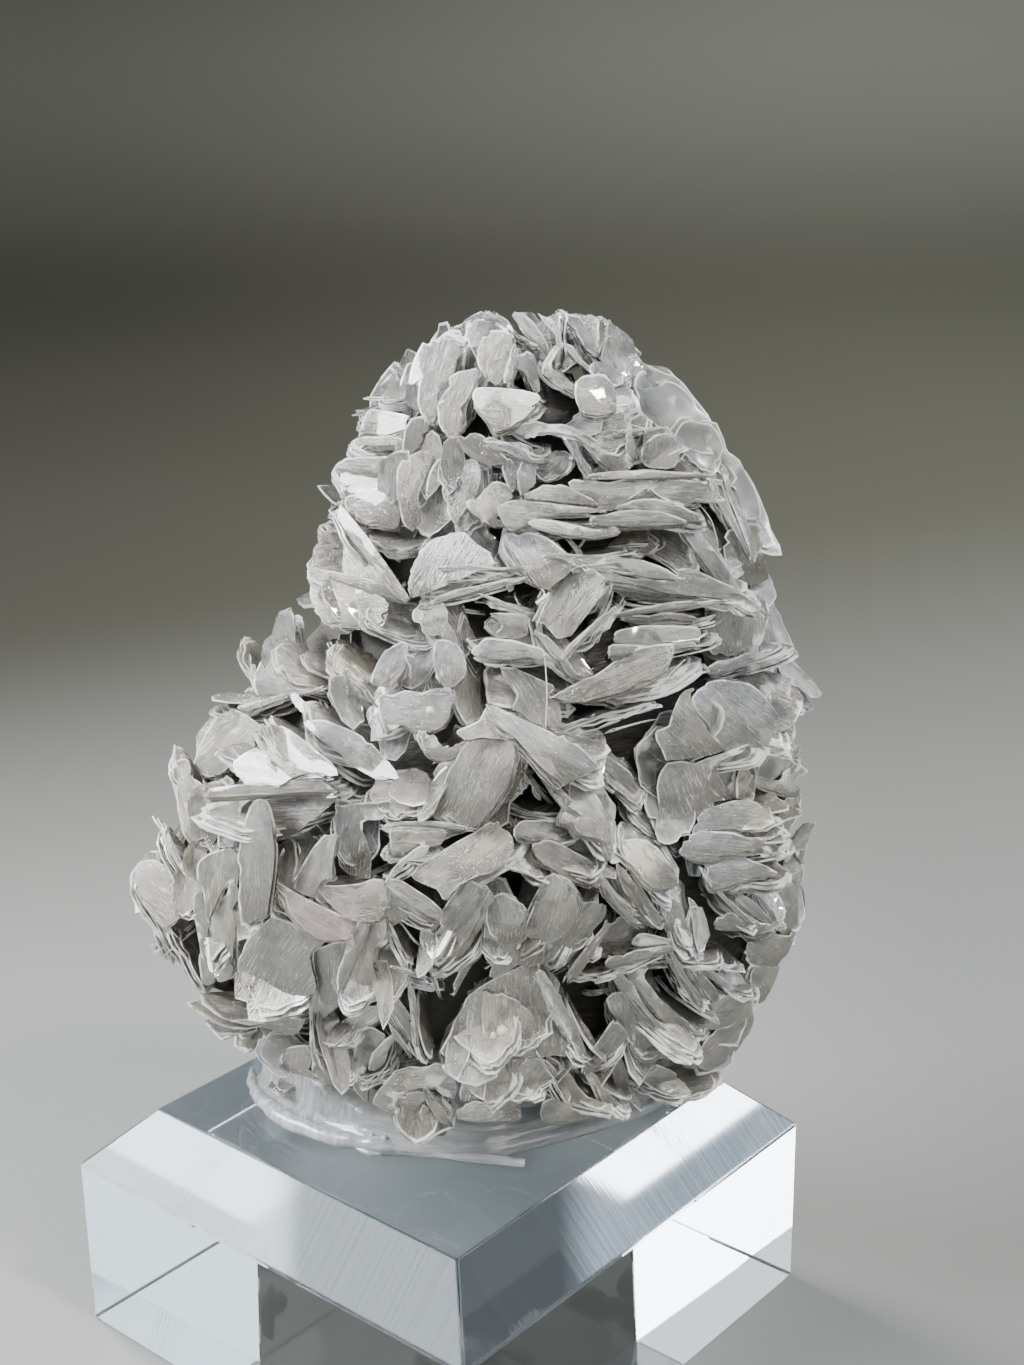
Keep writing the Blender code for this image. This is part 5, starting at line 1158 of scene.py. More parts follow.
def on_sight(across, up, y):
    """The point at depth y on the line from FRONT_EYE through a place on the layout plane."""
    place = Vector((across, 0.0, up))
    return FRONT_EYE + (place - FRONT_EYE) * ((y - FRONT_EYE.y) / -FRONT_EYE.y)


def plate_axes(outward, turn, tilt):
    """Rotation of a plate: its length is turned about outward, then the plate tilts about its length."""
    level = Vector((0.0, 0.0, 1.0)).cross(outward).normalized()
    above = outward.cross(level)
    turn = math.radians(turn)
    tilt = math.radians(tilt)
    along = level * math.cos(turn) + above * math.sin(turn)
    over = above * math.cos(turn) - level * math.sin(turn)
    aside = over * math.cos(tilt) - outward * math.sin(tilt)
    return Matrix((along, aside, along.cross(aside))).transposed()


def front_place(across, up, wide, turn, tilt, forward):
    """Centre and rotation of a plate of the front."""
    reach = abs(math.sin(math.radians(tilt))) * wide / 2
    centre = on_sight(across, up, reach - depth_at(across, up) - forward)
    return centre, plate_axes((FRONT_EYE - centre).normalized(), turn, tilt)


def book(centre, axes, size, tilt, chance, tone=1.0):
    """The row that the flake tree reads for one book."""
    long, wide, thick = size
    bends = [
        chance.uniform(*most) * side * share * MM
        for most, side, share in zip(BOOK_BENDS, (long, wide), BOOK_BEND_SHARES)
    ]
    return {
        "centre": centre * MM,
        "turned": axes.to_euler(),
        "half": (long / 2 * MM, wide / 2 * MM, thick * MM),
        "bend": (*bends, 0.0),
        "leaves": max(1, round(thick / BOOK_PITCH)),
        "family": chance.randrange(FLAKE_FAMILIES),
        "tone": tone * chance.uniform(*BOOK_TONES),
        # how much the book stands on edge, which weighs the painted shade on its root side
        "buried": abs(math.sin(math.radians(tilt))),
    }


def front_books():
    """Rows for the books of the front, and for the clear ones among them."""
    chance = random.Random(BOOK_SEED)
    books, clear = [], []
    for across, up, long, wide, turn, tilt, thick, forward in PLATES + SMALL_PLATES:
        centre, axes = front_place(across, up, wide, turn, tilt, forward)
        size = (long * PLATE_GROWTH, wide * PLATE_GROWTH, thick)
        row = book(centre, axes, size, tilt, chance)
        row["up"] = up
        if (across, up) in CLEAR_PLACES:
            row["leaves"] = CLEAR_LEAVES
            clear.append(row)
        else:
            books.append(row)
    return books, clear


def hollow(across, up):
    """Whether a place lies in one of the dark hollows."""
    return any(math.hypot(across - x, up - z) < radius for x, z, radius in HOLLOWS)


def fringe():
    """Loose thin leaves that fan out from the books of the front, some askew."""
    chance = random.Random(FRINGE_SEED)
    leaves = []
    for across, up, long, wide, turn, tilt, thick, forward in PLATES:
        if (across, up) in CLEAR_PLACES or hollow(across, up):
            continue
        for _ in range(chance.choice(FRINGE_COUNTS)):
            grown = chance.uniform(*FRINGE_SCALES)
            width = wide * grown * chance.uniform(*FRINGE_WIDTHS)
            size = (long * grown, width, chance.choice(FRINGE_THICKNESSES))
            lean = held(abs(tilt) + chance.gauss(*FRINGE_STEEPER), *FRINGE_TILTS)
            turned = turn + chance.gauss(0.0, FRINGE_TURN)
            centre, axes = front_place(across, up, wide, turned, math.copysign(lean, tilt), forward)
            shift = (
                chance.uniform(*FRINGE_ALONG) * long, chance.uniform(*FRINGE_ASIDE) * wide,
                chance.choice((-1, 1)) * (thick / 2 + chance.uniform(*FRINGE_OFF)),
            )
            leaves.append(book(centre + axes @ Vector(shift), axes, size, tilt, chance, FRINGE_TONE))
    return leaves


def back_books():
    """Rows for the books of the back and the sides."""
    chance = random.Random(BACK_SEED)
    look = random.Random(BOOK_SEED)
    first, last = BACK_ARC
    books = []
    for row, (up, count) in enumerate(BACK_ROWS):
        for i in range(count):
            place = i + BACK_START[row % 2] + chance.uniform(-BACK_SCATTER, BACK_SCATTER)
            angle = math.pi * (first + (last - first) * place / count)
            height = up + chance.uniform(-BACK_CLIMB, BACK_CLIMB)
            left, right, depth = envelope(height)
            across = (left + right) / 2 + (right - left) / 2 * BACK_REACH * math.cos(angle)
            outward = Vector((math.cos(angle), math.sin(angle), BACK_RISE)).normalized()
            tilt = chance.choice(BACK_LEANS)
            axes = plate_axes(outward, chance.uniform(-BACK_TURN, BACK_TURN), tilt)
            long = chance.uniform(*BACK_LENGTH)
            wide = long * chance.uniform(*BACK_WIDTH)
            buried = math.sin(math.radians(tilt)) * wide / 2 - BACK_PROUD
            centre = on_sight(across, height, BACK_DEPTH * depth * math.sin(angle)) - outward * buried
            size = (long, wide, chance.uniform(*BACK_THICKNESS))
            chance.randrange(BACK_SHAPES)  # the solid plate's draw, which keeps the next ones in step
            books.append(book(centre, axes, size, tilt, look))
    return books


def front_chips():
    """Small books between the large ones, each leaning much as its neighbour does."""
    chance = random.Random(CHIP_SEED)
    near = np.array([(row[0], row[1]) for row in PLATES])
    chips = []
    while len(chips) < CHIP_COUNT:
        up = chance.uniform(*CHIP_HEIGHTS)
        left, right, _ = envelope(up)
        across = chance.uniform(left + CHIP_MARGIN, right - CHIP_MARGIN)
        if hollow(across, up):
            continue
        closest = np.argmin(np.hypot(near[:, 0] - across, near[:, 1] - up))
        _, _, _, _, turn, tilt, _, forward = PLATES[closest]
        long = chance.uniform(*CHIP_LENGTHS)
        wide = long * chance.uniform(*CHIP_WIDTHS)
        turn += chance.gauss(0.0, CHIP_TURN)
        tilt = math.copysign(held(abs(tilt) + chance.gauss(*CHIP_STEEPER), *CHIP_TILTS), tilt)
        forward += chance.uniform(*CHIP_SUNK)
        centre, axes = front_place(across, up, wide, turn, tilt, forward)
        size = (long, wide, chance.uniform(*CHIP_THICKNESSES))
        row = book(centre, axes, size, tilt, chance, CHIP_SHADE_TONE)
        # painted shade: each small book takes the full shade on its root side
        row["buried"] = 1.0
        chips.append(row)
    return chips


def back_scatter(seed, count, lengths, widths, thicks, tilts, prouds, tone):
    """Books spread evenly between the larger ones of the back and the sides."""
    chance = random.Random(seed)
    spread, early = SCATTER_ARC
    rows = []
    for i in range(count):
        up = SCATTER_FROM + SCATTER_HEIGHT * (i + chance.random()) / count
        angle = math.pi * (spread * (i * GOLDEN_SHARE % 1.0) - early)
        left, right, depth = envelope(up)
        across = (left + right) / 2 + (right - left) / 2 * SCATTER_REACH * math.cos(angle)
        outward = Vector((math.cos(angle), math.sin(angle), BACK_RISE)).normalized()
        tilt = chance.uniform(*tilts)
        axes = plate_axes(outward, chance.uniform(-SCATTER_TURN, SCATTER_TURN), tilt)
        long = chance.uniform(*lengths)
        wide = long * chance.uniform(*widths)
        buried = math.sin(math.radians(tilt)) * wide / 2 - chance.uniform(*prouds)
        centre = on_sight(across, up, BACK_DEPTH * depth * math.sin(angle)) - outward * buried
        rows.append(book(centre, axes, (long, wide, chance.uniform(*thicks)), tilt, chance, tone))
    return rows


# Meshes

def link_mesh(name, mesh):
    """A new object in the scene."""
    piece = bpy.data.objects.new(name, mesh)
    bpy.context.scene.collection.objects.link(piece)
    return piece


def link_shape(name, shape, smooth=True):
    """A new object from a bmesh in millimetres, with its faces pointing outwards."""
    bmesh.ops.recalc_face_normals(shape, faces=shape.faces[:])
    bmesh.ops.scale(shape, vec=(MM, MM, MM), verts=shape.verts[:])
    mesh = bpy.data.meshes.new(name)
    shape.to_mesh(mesh)
    shape.free()
    if smooth:
        mesh.shade_smooth()
    return link_mesh(name, mesh)


def evaluated_mesh(piece):
    """The plain mesh that an object's modifiers make."""
    graph = bpy.context.evaluated_depsgraph_get()
    return bpy.data.meshes.new_from_object(
        piece.evaluated_get(graph), preserve_all_data_layers=True, depsgraph=graph,
    )


def dress(piece, material, slot, *nodes):
    """Gives a piece its finish, its body and the solids that it stands for."""
    piece.data.materials.clear()
    piece.data.materials.append(material)
    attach(piece, BODY)
    if nodes:
        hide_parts(*nodes)


def flake_outline(family, sister, count):
    """Radii of a leaf: a lopsided polygon with blunt corners, and a few nicks of its own."""
    shape = random.Random(FLAKE_SHAPE_SEED + family)
    wear = random.Random(FLAKE_WEAR_SEED * family + sister)
    sides = shape.choice(FLAKE_CORNERS)
    normals = [
        2 * math.pi * (i + shape.uniform(-FLAKE_UNEVEN, FLAKE_UNEVEN)) / sides for i in range(sides)
    ]
    reach = [shape.uniform(*FLAKE_REACH) for _ in normals]
    radii = []
    for i in range(count):
        angle = 2 * math.pi * i / count
        total = sum(
            (max(0.0, math.cos(angle - normal)) / far) ** FLAKE_ROUNDNESS
            for normal, far in zip(normals, reach)
        )
        radius = total ** (-1 / FLAKE_ROUNDNESS) - wear.uniform(0.0, FLAKE_WEAR)
        if wear.random() < FLAKE_NICK_SHARE:
            radius -= wear.uniform(*FLAKE_NICK)
        radii.append(min(radius, FLAKE_LONGEST))
    return radii


def flake(number, sides, shares, collection):
    """One thin closed leaf, a unit wide and thick, that stores where each point lies on it."""
    reach = flake_outline(*divmod(number, FLAKE_SISTERS), sides)
    shape = bmesh.new()
    layer = shape.verts.layers.float_vector.new("place")
    sheets = []
    for z in (0.5, -0.5):
        middle = shape.verts.new((0.0, 0.0, z))
        rings = []
        for share in (*shares, 1.0):
            ring = []
            for i, radius in enumerate(reach):
                angle = 2 * math.pi * i / sides
                part = share * (radius * share + (1 - share))
                vert = shape.verts.new((part * math.cos(angle), part * math.sin(angle), z))
                vert[layer] = (vert.co.x, vert.co.y, share)
                ring.append(vert)
            rings.append(ring)
        order = 1 if z > 0 else -1
        for i in range(sides):
            j = (i + 1) % sides
            shape.faces.new((middle, rings[0][i], rings[0][j])[::order])
            for inner, outer in zip(rings, rings[1:]):
                shape.faces.new((inner[i], outer[i], outer[j], inner[j])[::order])
        sheets.append(rings[-1])
    top, bottom = sheets
    for i in range(sides):
        j = (i + 1) % sides
        side = shape.faces.new((bottom[i], bottom[j], top[j], top[i]))
        for edge in side.edges:
            if len({vert.co.z for vert in edge.verts}) == 1:
                edge.smooth = False
    for face in shape.faces:
        face.smooth = True
    mesh = bpy.data.meshes.new(f"{collection.name}_{number:02d}")
    shape.to_mesh(mesh)
    shape.free()
    collection.objects.link(bpy.data.objects.new(mesh.name, mesh))


def flake_collection(name, sides, shares):
    """The leaves that the books are made from."""
    collection = bpy.data.collections.new(name)
    for number in range(FLAKE_FAMILIES * FLAKE_SISTERS):
        flake(number, sides, shares, collection)
    return collection


def camera_turn(size):
    """The camera's rotation, as a matrix of this size."""
    pitch = Matrix.Rotation(math.radians(CAMERA_PITCH), size, "X")
    return pitch @ Matrix.Rotation(math.radians(CAMERA_ROLL), size, "Z")


def behind_pixel(x, y):
    """The place on the layout plane behind a pixel of the camera's frame."""
    wide, high = FRAME_SIZE
    ray = camera_turn(3) @ Vector((x - wide / 2, high / 2 - y, -CAMERA_LENS / CAMERA_SENSOR * high))
    place = FRONT_EYE - ray * (FRONT_EYE.y / ray.y)
    return place.x, place.z


def sheet_rows():
    """The drawn sheets with their outlines on the layout plane."""
    rows = []
    for left, top, back, sheets in SHEET_BOARDS:
        for forward, fall, lean, turn, leaves, tone, outline in sheets:
            corners = [
                behind_pixel(left + x / BOARD_SCALE, top + y / BOARD_SCALE)
                for x, y in zip(outline[::2], outline[1::2])
            ]
            rows.append((corners, forward - back, fall, -lean, turn, leaves, tone))
    return rows


def sheet_slopes(across, up):
    """Share of the slopes of the swelling front that a sheet follows, towards +X and upwards."""
    slopes = (
        (depth_at(across + 1.0, up) - depth_at(across - 1.0, up)) / 2.0,
        (depth_at(across, up + 1.0) - depth_at(across, up - 1.0)) / 2.0,
    )
    return [SHEET_FOLLOW * held(slope, -most, most) for slope, most in zip(slopes, SHEET_STEEPEST)]


def sheet_plan(corners, chance):
    """Flat triangles of a sheet with how near each point is to the rim."""
    loop = smooth_loop([(x, z, 0.0) for x, z in corners], SHEET_STEPS)
    rough = [
        noise.noise(point * SHEET_FINENESS + Vector((chance.uniform(0, SHEET_STRAY), 0, 0)))
        for point in loop
    ]
    middle = sum(loop, Vector()) / len(loop)
    edge, inner, lit = [], [], []
    for i, point in enumerate(loop):
        side = (loop[(i + 1) % len(loop)] - loop[i - 1]).normalized()
        inward = Vector((-side.y, side.x, 0.0))
        if inward.dot(middle - point) < 0:
            inward.negate()
        nick = SHEET_RAGGED * rough[i] + chance.uniform(0.0, SHEET_RAGGED)
        if chance.random() < SHEET_TORN_SHARE:
            nick += chance.uniform(*SHEET_TORN_DEPTH)
        edge.append(point + inward * nick)
        inner.append(point + inward * (nick + SHEET_INSET))
        # painted highlight: the rim value, and so the white of the torn edge, is highest on the lit side
        lit.append(1.0 - SHEET_SHADED_SIDE_FALL * (1.0 - held(0.25 - inward.dot(SHEET_LIT), 0.0, 1.0)))
    points = [point.to_2d() for point in edge + inner]
    rims = lit + [SHEET_RIM_INSIDE] * len(inner)
    most, fall = SHEET_RIM_FALL
    low = [min(point[i] for point in edge) for i in (0, 1)]
    high = [max(point[i] for point in edge) for i in (0, 1)]
    for i in range(int((high[0] - low[0]) / SHEET_GRID) + 1):
        for j in range(int((high[1] - low[1]) / SHEET_GRID) + 1):
            x = low[0] + (i + 0.5 * (j % 2)) * SHEET_GRID
            point = Vector((x, low[1] + (j + 0.3) * SHEET_GRID))
            gap = min((other.to_2d() - point).length for other in edge)
            if gap > SHEET_CLEAR:
                points.append(point)
                rims.append(max(0.0, most - fall * gap))
    verts, _, faces, origins, _, _ = delaunay_2d_cdt(points, [], [list(range(len(edge)))], 1, 1e-4)
    return verts, faces, [max((rims[k] for k in origin), default=1.0) for origin in origins]


def add_sheet(shape, layers, row, chance):
    """Adds the leaves of one drawn sheet to a bmesh."""
    corners, forward, fall_across, fall_up, turn, leaves, tone = row
    middle = Vector((sum(x for x, _ in corners), sum(z for _, z in corners))) / len(corners)
    if middle.x > SHEET_BRIGHT_FROM and SHEET_BRIGHT_HEIGHTS[0] < middle.y < SHEET_BRIGHT_HEIGHTS[1]:
        tone *= SHEET_BRIGHTER
    follow = sheet_slopes(*middle)
    slope = Vector((fall_across + follow[0], fall_up + follow[1]))
    grain = Vector((math.cos(math.radians(turn)), math.sin(math.radians(turn))))
    root = Vector((-grain.y, grain.x))
    half_long = max(abs((Vector(corner) - middle).dot(grain)) for corner in corners)
    half_wide = max(abs((Vector(corner) - middle).dot(root)) for corner in corners)
    stand = depth_at(*middle) + forward + SHEET_STAND
    curl = chance.uniform(*SHEET_CURL) * half_wide
    half_across = max(abs(x - middle.x) for x, _ in corners)
    half_high = max(abs(z - middle.y) for _, z in corners)
    place, leaf, toned, rooted = layers
    shrink, most = SHEET_SHRINK
    darkest, upwards, rightwards = SHEET_ROOT_SHADE
    for number in range(leaves):
        verts, faces, rims = sheet_plan(corners, chance)
        scale = 1.0 - shrink * number * chance.uniform(0.0, most)
        shaken = Vector((chance.uniform(-SHEET_SHAKE, SHEET_SHAKE), 0.0))
        shift = (slope * SHEET_CREEP - root) * SHEET_PEEL * number + shaken
        shade = chance.random()
        sheets = []
        for back in (0.0, SHEET_THICKNESS):
            made = []
            for flat, rim in zip(verts, rims):
                local = flat - middle
                u, v = local.dot(grain) / half_long, local.dot(root) / half_wide
                at = middle + local * scale + shift
                depth = stand + slope.dot(at - middle) - curl * v * v - SHEET_GAP * number - back
                wave = Vector((at.x / SHEET_SWELL_SIZE, at.y / SHEET_SWELL_SIZE, forward * SHEET_UNLIKE))
                depth += SHEET_SWELL * noise.noise(wave)
                vert = shape.verts.new(on_sight(at.x, at.y, -depth))
                vert[place] = (u, v, rim)
                # painted shade: a sheet is darker low down, towards its root
                low = darkest + local.y / half_high * upwards + local.x / half_across * rightwards
                vert[leaf], vert[toned], vert[rooted] = shade, tone, held(low, 0.0, 1.0)
                made.append(vert)
            sheets.append(made)
        front, rear = sheets
        lines = set()
        for corner in faces:
            lines.update(zip(corner, (*corner[1:], corner[0])))
            for made, order in ((front, 1), (rear, -1)):
                shape.faces.new([made[i] for i in corner][::order]).smooth = True
        for start, end in lines:
            if (end, start) in lines:
                continue
            side = shape.faces.new((front[end], front[start], rear[start], rear[end]))
            side.smooth = True
            fore = (front[start], front[end])
            for edge in side.edges:
                if (edge.verts[0] in fore) == (edge.verts[1] in fore):
                    edge.smooth = False


def drawn_sheets(name, rows):
    """The drawn sheets of some rows, as one mesh."""
    chance = random.Random(SHEET_SEED)
    shape = bmesh.new()
    place = shape.verts.layers.float_vector.new("place")
    layers = (place, *(shape.verts.layers.float.new(key) for key in ("leaf", "tone", "rooted")))
    for row in rows:
        add_sheet(shape, layers, row, chance)
    loose = [vert for vert in shape.verts if not vert.link_faces]
    bmesh.ops.delete(shape, geom=loose, context="VERTS")
    return link_shape(name, shape, False)


def flake_tree():
    """Geometry Nodes: each point becomes a book of leaves, splayed from its root, bent and rippled."""
    tree = bpy.data.node_groups.new("mica_books", "GeometryNodeTree")
    graph = Graph(tree)
    wanted = (
        ("Books", "NodeSocketGeometry", None),
        ("Flakes", "NodeSocketCollection", None),
        ("Leaf Thickness", "NodeSocketFloat", 0.14 * MM),
        ("Splay", "NodeSocketFloat", ROOT_TIGHTNESS),
        ("Slide", "NodeSocketFloat", 0.08),
        ("Uneven Size", "NodeSocketFloat", 0.14),
        ("Wander", "NodeSocketFloat", 1.2),
        ("Warp", "NodeSocketFloat", 0.5 * MM),
        ("Ragged", "NodeSocketFloat", 0.16 * MM),
        ("Seed", "NodeSocketInt", 1),
        ("Material", "NodeSocketMaterial", None),
    )
    for name, kind, default in wanted:
        socket = tree.interface.new_socket(name, in_out="INPUT", socket_type=kind)
        if default is not None:
            socket.default_value = default
    tree.interface.new_socket("Books", in_out="OUTPUT", socket_type="NodeSocketGeometry")
    start = graph.add("NodeGroupInput")
    seed = start.output("Seed")

    copies = graph.add(
        "GeometryNodeDuplicateElements", {"domain": "POINT"},
        {"Geometry": start.output("Books"), "Amount": graph.named("leaves", "INT")},
    )
    share = (copies.output("Duplicate Index") + 0.5) / graph.named("leaves", "INT") - 0.5
    leaves = graph.store(copies, "share", share)
    share = graph.named("share")
    half_long, half_wide, thick = graph.split(graph.named("half", "FLOAT_VECTOR"))
    splay = start.output("Splay")
    lean = share * thick * splay / (half_wide * -2.0)
    wander = start.output("Wander") * (math.pi / 180)
    shake = graph.chance([-most for most in LEAF_SHAKE], LEAF_SHAKE, seed, "FLOAT_VECTOR")
    turn = graph.vector("ADD", graph.vector("SCALE", shake, Scale=wander), graph.joined(lean))
    whole = graph.add("FunctionNodeEulerToRotation", inputs={0: graph.named("turned", "FLOAT_VECTOR")})
    own = graph.add("FunctionNodeEulerToRotation", inputs={0: turn})
    rotation = graph.add(
        "FunctionNodeRotateRotation", {"rotation_space": "LOCAL"}, {"Rotation": whole, "Rotate By": own},
    )
    slide = start.output("Slide")
    ahead, aside, _ = graph.split(
        graph.chance((-1.0, -1.0, 0.0), (1.0, 1.0, 0.0), seed + 7, "FLOAT_VECTOR")
    )
    offset = graph.joined(
        ahead * slide * half_long, aside * slide * half_wide, share * thick * (1.0 - splay / 2.0),
    )
    offset = graph.add("FunctionNodeRotateVector", inputs={"Vector": offset, "Rotation": whole})
    leaves = graph.add("GeometryNodeSetPosition", inputs={"Geometry": leaves, "Offset": offset})
    face = graph.add("FunctionNodeRotateVector", inputs={"Vector": (0.0, 0.0, 1.0), "Rotation": whole})
    leaves = graph.store(leaves, "face", face, "FLOAT_VECTOR")
    leaves = graph.store(leaves, "leaf", graph.chance(0.0, 1.0, seed + 3))
    smaller = graph.chance(0.0, 1.0, seed + 5) + (share + 0.5) * BOOK_TAPER
    size = 1.0 - start.output("Uneven Size") * smaller
    scale = graph.joined(half_long * size, half_wide * size, start.output("Leaf Thickness"))
    kinds = graph.add("GeometryNodeCollectionInfo", inputs={
        "Collection": start.output("Flakes"), "Separate Children": True, "Reset Children": True,
    })
    sister = graph.chance(0, FLAKE_SISTERS - 1, seed + 2, "INT")
    placed = graph.add("GeometryNodeInstanceOnPoints", inputs={
        "Points": leaves, "Instance": kinds, "Pick Instance": True,
        "Instance Index": graph.named("family", "INT") * FLAKE_SISTERS + sister,
        "Rotation": rotation, "Scale": scale,
    })
    whole_mesh = graph.add("GeometryNodeRealizeInstances", inputs={0: placed})

    u, v, rim = graph.split(graph.named("place", "FLOAT_VECTOR"))
    bend_along, bend_aside, _ = graph.split(graph.named("bend", "FLOAT_VECTOR"))
    at = graph.add("GeometryNodeInputPosition")
    swell = graph.noise(at, spots(SWELL_SIZE), 1.0, out="Color")
    swell = graph.vector("SUBTRACT", swell, (0.5, 0.5, 0.5))
    ripple = graph.noise(at, spots(RIPPLE_SIZE), 1.0)
    nicks = graph.noise(at, spots(NICK_SIZE), 2.0, out="Color")
    nicks = graph.vector("SUBTRACT", nicks, (0.5, 0.5, 0.5))
    warp = start.output("Warp")
    lift = bend_along * u * u + bend_aside * v * v + (ripple - 0.5) * warp * 0.5
    moved = graph.vector("SCALE", graph.named("face", "FLOAT_VECTOR"), Scale=lift)
    moved = graph.vector("ADD", moved, graph.vector("SCALE", swell, Scale=warp * 2.0))
    ragged = graph.vector("SCALE", nicks, Scale=start.output("Ragged") * rim * rim * 2.0)
    moved = graph.vector("ADD", moved, ragged)
    bent = graph.add("GeometryNodeSetPosition", inputs={"Geometry": whole_mesh, "Offset": moved})
    finish = start.output("Material")
    done = graph.add("GeometryNodeSetMaterial", inputs={"Geometry": bent, "Material": finish})
    graph.add("NodeGroupOutput", inputs={0: done})
    return tree


def point_mesh(name, rows):
    """Loose points, one for each book, with what the flake tree reads stored on them."""
    mesh = bpy.data.meshes.new(name)
    mesh.from_pydata([row["centre"] for row in rows], [], [])
    for key, kind, part in (
        ("turned", "FLOAT_VECTOR", "vector"), ("half", "FLOAT_VECTOR", "vector"),
        ("bend", "FLOAT_VECTOR", "vector"), ("leaves", "INT", "value"),
        ("family", "INT", "value"), ("tone", "FLOAT", "value"), ("buried", "FLOAT", "value"),
    ):
        layer = mesh.attributes.new(key, kind, "POINT")
        for item, row in zip(layer.data, rows):
            setattr(item, part, row[key])
    return mesh


def grow_books(name, rows, flakes, material, **changed):
    """Grows books from their rows, as one plain mesh."""
    tree = bpy.data.node_groups.get("mica_books") or flake_tree()
    piece = link_mesh(name, point_mesh(name + "_points", rows))
    grow = piece.modifiers.new("books", "NODES")
    grow.node_group = tree
    values = {"Flakes": flakes, "Material": material, **changed}
    for item in tree.interface.items_tree:
        if item.item_type == "SOCKET" and item.in_out == "INPUT" and item.name in values:
            grow[item.identifier] = values[item.name]
    mesh = evaluated_mesh(piece)
    piece.modifiers.clear()
    points = piece.data
    piece.data = mesh
    mesh.name = name
    bpy.data.meshes.remove(points)
    if not mesh.polygons:
        raise RuntimeError(f"{name} has no leaves")
    return piece


# Finishes

def mica_material(settings):
    """Pearly mica: cool on the face of a leaf, white on its torn edge, and dark brown towards its root, which
    is painted shade with a little brown stain.
    """
    made, graph, where = new_material("mica")
    u, v, rim = graph.split(graph.attribute("place", "Vector"))
    leaf = graph.attribute("leaf")
    buried = graph.attribute("buried")
    local = graph.joined(u, v, leaf * 37.0)
    grain = graph.noise(graph.stretched(local, (1.2, 15.0, 1.0)), 2.0, 4.0, 0.6).over(0.3, 0.7)
    cloud = graph.noise(where, spots(2.2), 4.0, 0.6).over(0.3, 0.7)
    patches = graph.noise(where, spots(14), 2.0)
    deep = graph.noise(local, 1.3, 3.0, 0.6).over(0.42, 0.72)
    speck = graph.noise(where, spots(0.3), 2.0)
    side, _, up = graph.split(where)
    # layers torn off a leaf leave it in steps
    layers = graph.noise(graph.stretched(local, (0.9, 3.2, 1.0)), 1.5, 3.0, 0.55) * 9.0
    part = layers - layers.floored()

    # warmer in patches, to the left and low down
    warmth = patches.over(0.36, 0.62) * 0.6 + (leaf - 0.5) * 0.5
    warmth = warmth + 0.12 + side.over(2 * MM, -24 * MM) * 0.35 + up.over(75 * MM, 30 * MM) * 0.45
    base = graph.mix(warmth.clamped(), colour(settings.cool_colour), colour(settings.warm_colour))
    # painted shade: across each step of torn layers the colour runs from dark to light, and the crown darkens
    # towards its top
    shade = 0.3 + 0.34 * leaf + 0.4 * grain + 0.18 * cloud + 0.3 * part - up.over(80 * MM, 96 * MM) * 0.22
    base = graph.scaled(base, shade * graph.attribute("tone") * 0.77)
    # painted shade: thin patches are darkened as if the shaded inside showed through them
    base = graph.mix(deep * 0.6, base, colour(settings.thin_patch_shade_colour))
    # painted shade with a little brown stain: darker and browner towards the root of each leaf and sheet
    root = (v.over(-0.3, 1.0) * buried * 0.9 + graph.attribute("rooted") * (0.7 + 0.4 * cloud)).clamped()
    base = graph.mix(root, base, colour(settings.root_shade_colour))

    # white where the edge is torn, where the leaf is flawed and at the lip of each step, and painted glints
    # on specks; on the drawn sheets the torn edge is whitest on its lit side, a painted highlight
    worn = graph.noise(where, spots(1.6), 2.0).over(0.4, 0.62)
    open_side = 1.0 - v.over(-0.2, 0.6) * buried.over(0.1, 0.3)
    torn = (rim.over(0.9, 0.99) * open_side * (0.42 + worn * (1.2 + 0.6 * speck.over(0.35, 0.6)))).clamped()
    glint = speck.over(0.71, 0.76)
    flaw = (grain.over(0.78, 0.95) * cloud.over(0.35, 0.8) * 0.7).clamped()
    blush = on_sight(*BLUSH_PLACE, -depth_at(*BLUSH_PLACE) - BLUSH_OUT) * MM
    off = graph.vector("DISTANCE", where, tuple(blush)).output("Value")
    blushing = off.over(5.5 * MM, 2.0 * MM) * (0.3 + 0.4 * cloud)
    base = graph.mix(blushing, base, colour(settings.blush_colour))
    pale = (torn + glint * 0.1 + flaw + part.over(0.84, 1.0) * 0.4).clamped()
    base = graph.mix(pale, base, colour(settings.edge_and_glint_colour))

    height = grain * 0.7 + cloud * 0.5 + speck * 0.07 + layers.floored() * 0.4
    see_through = (1.0 - torn) * (1.0 - root) * (1.0 - flaw)
    shader = principled(
        graph, Base_Color=base, Roughness=(0.12 + 0.16 * cloud + 0.2 * torn) * (1.0 - 0.6 * glint),
        Metallic=0.55 - 0.55 * torn + 0.4 * glint, Normal=graph.bump(0.6, 0.1, height),
        Alpha=1.0 - see_through * (0.08 + 0.34 * deep) * settings.mica_translucence,
        IOR=1.56, Specular_IOR_Level=0.8, Coat_Weight=0.9, Coat_Roughness=0.06, Coat_IOR=1.8,
    )
    finish_material(graph, shader)
    return made


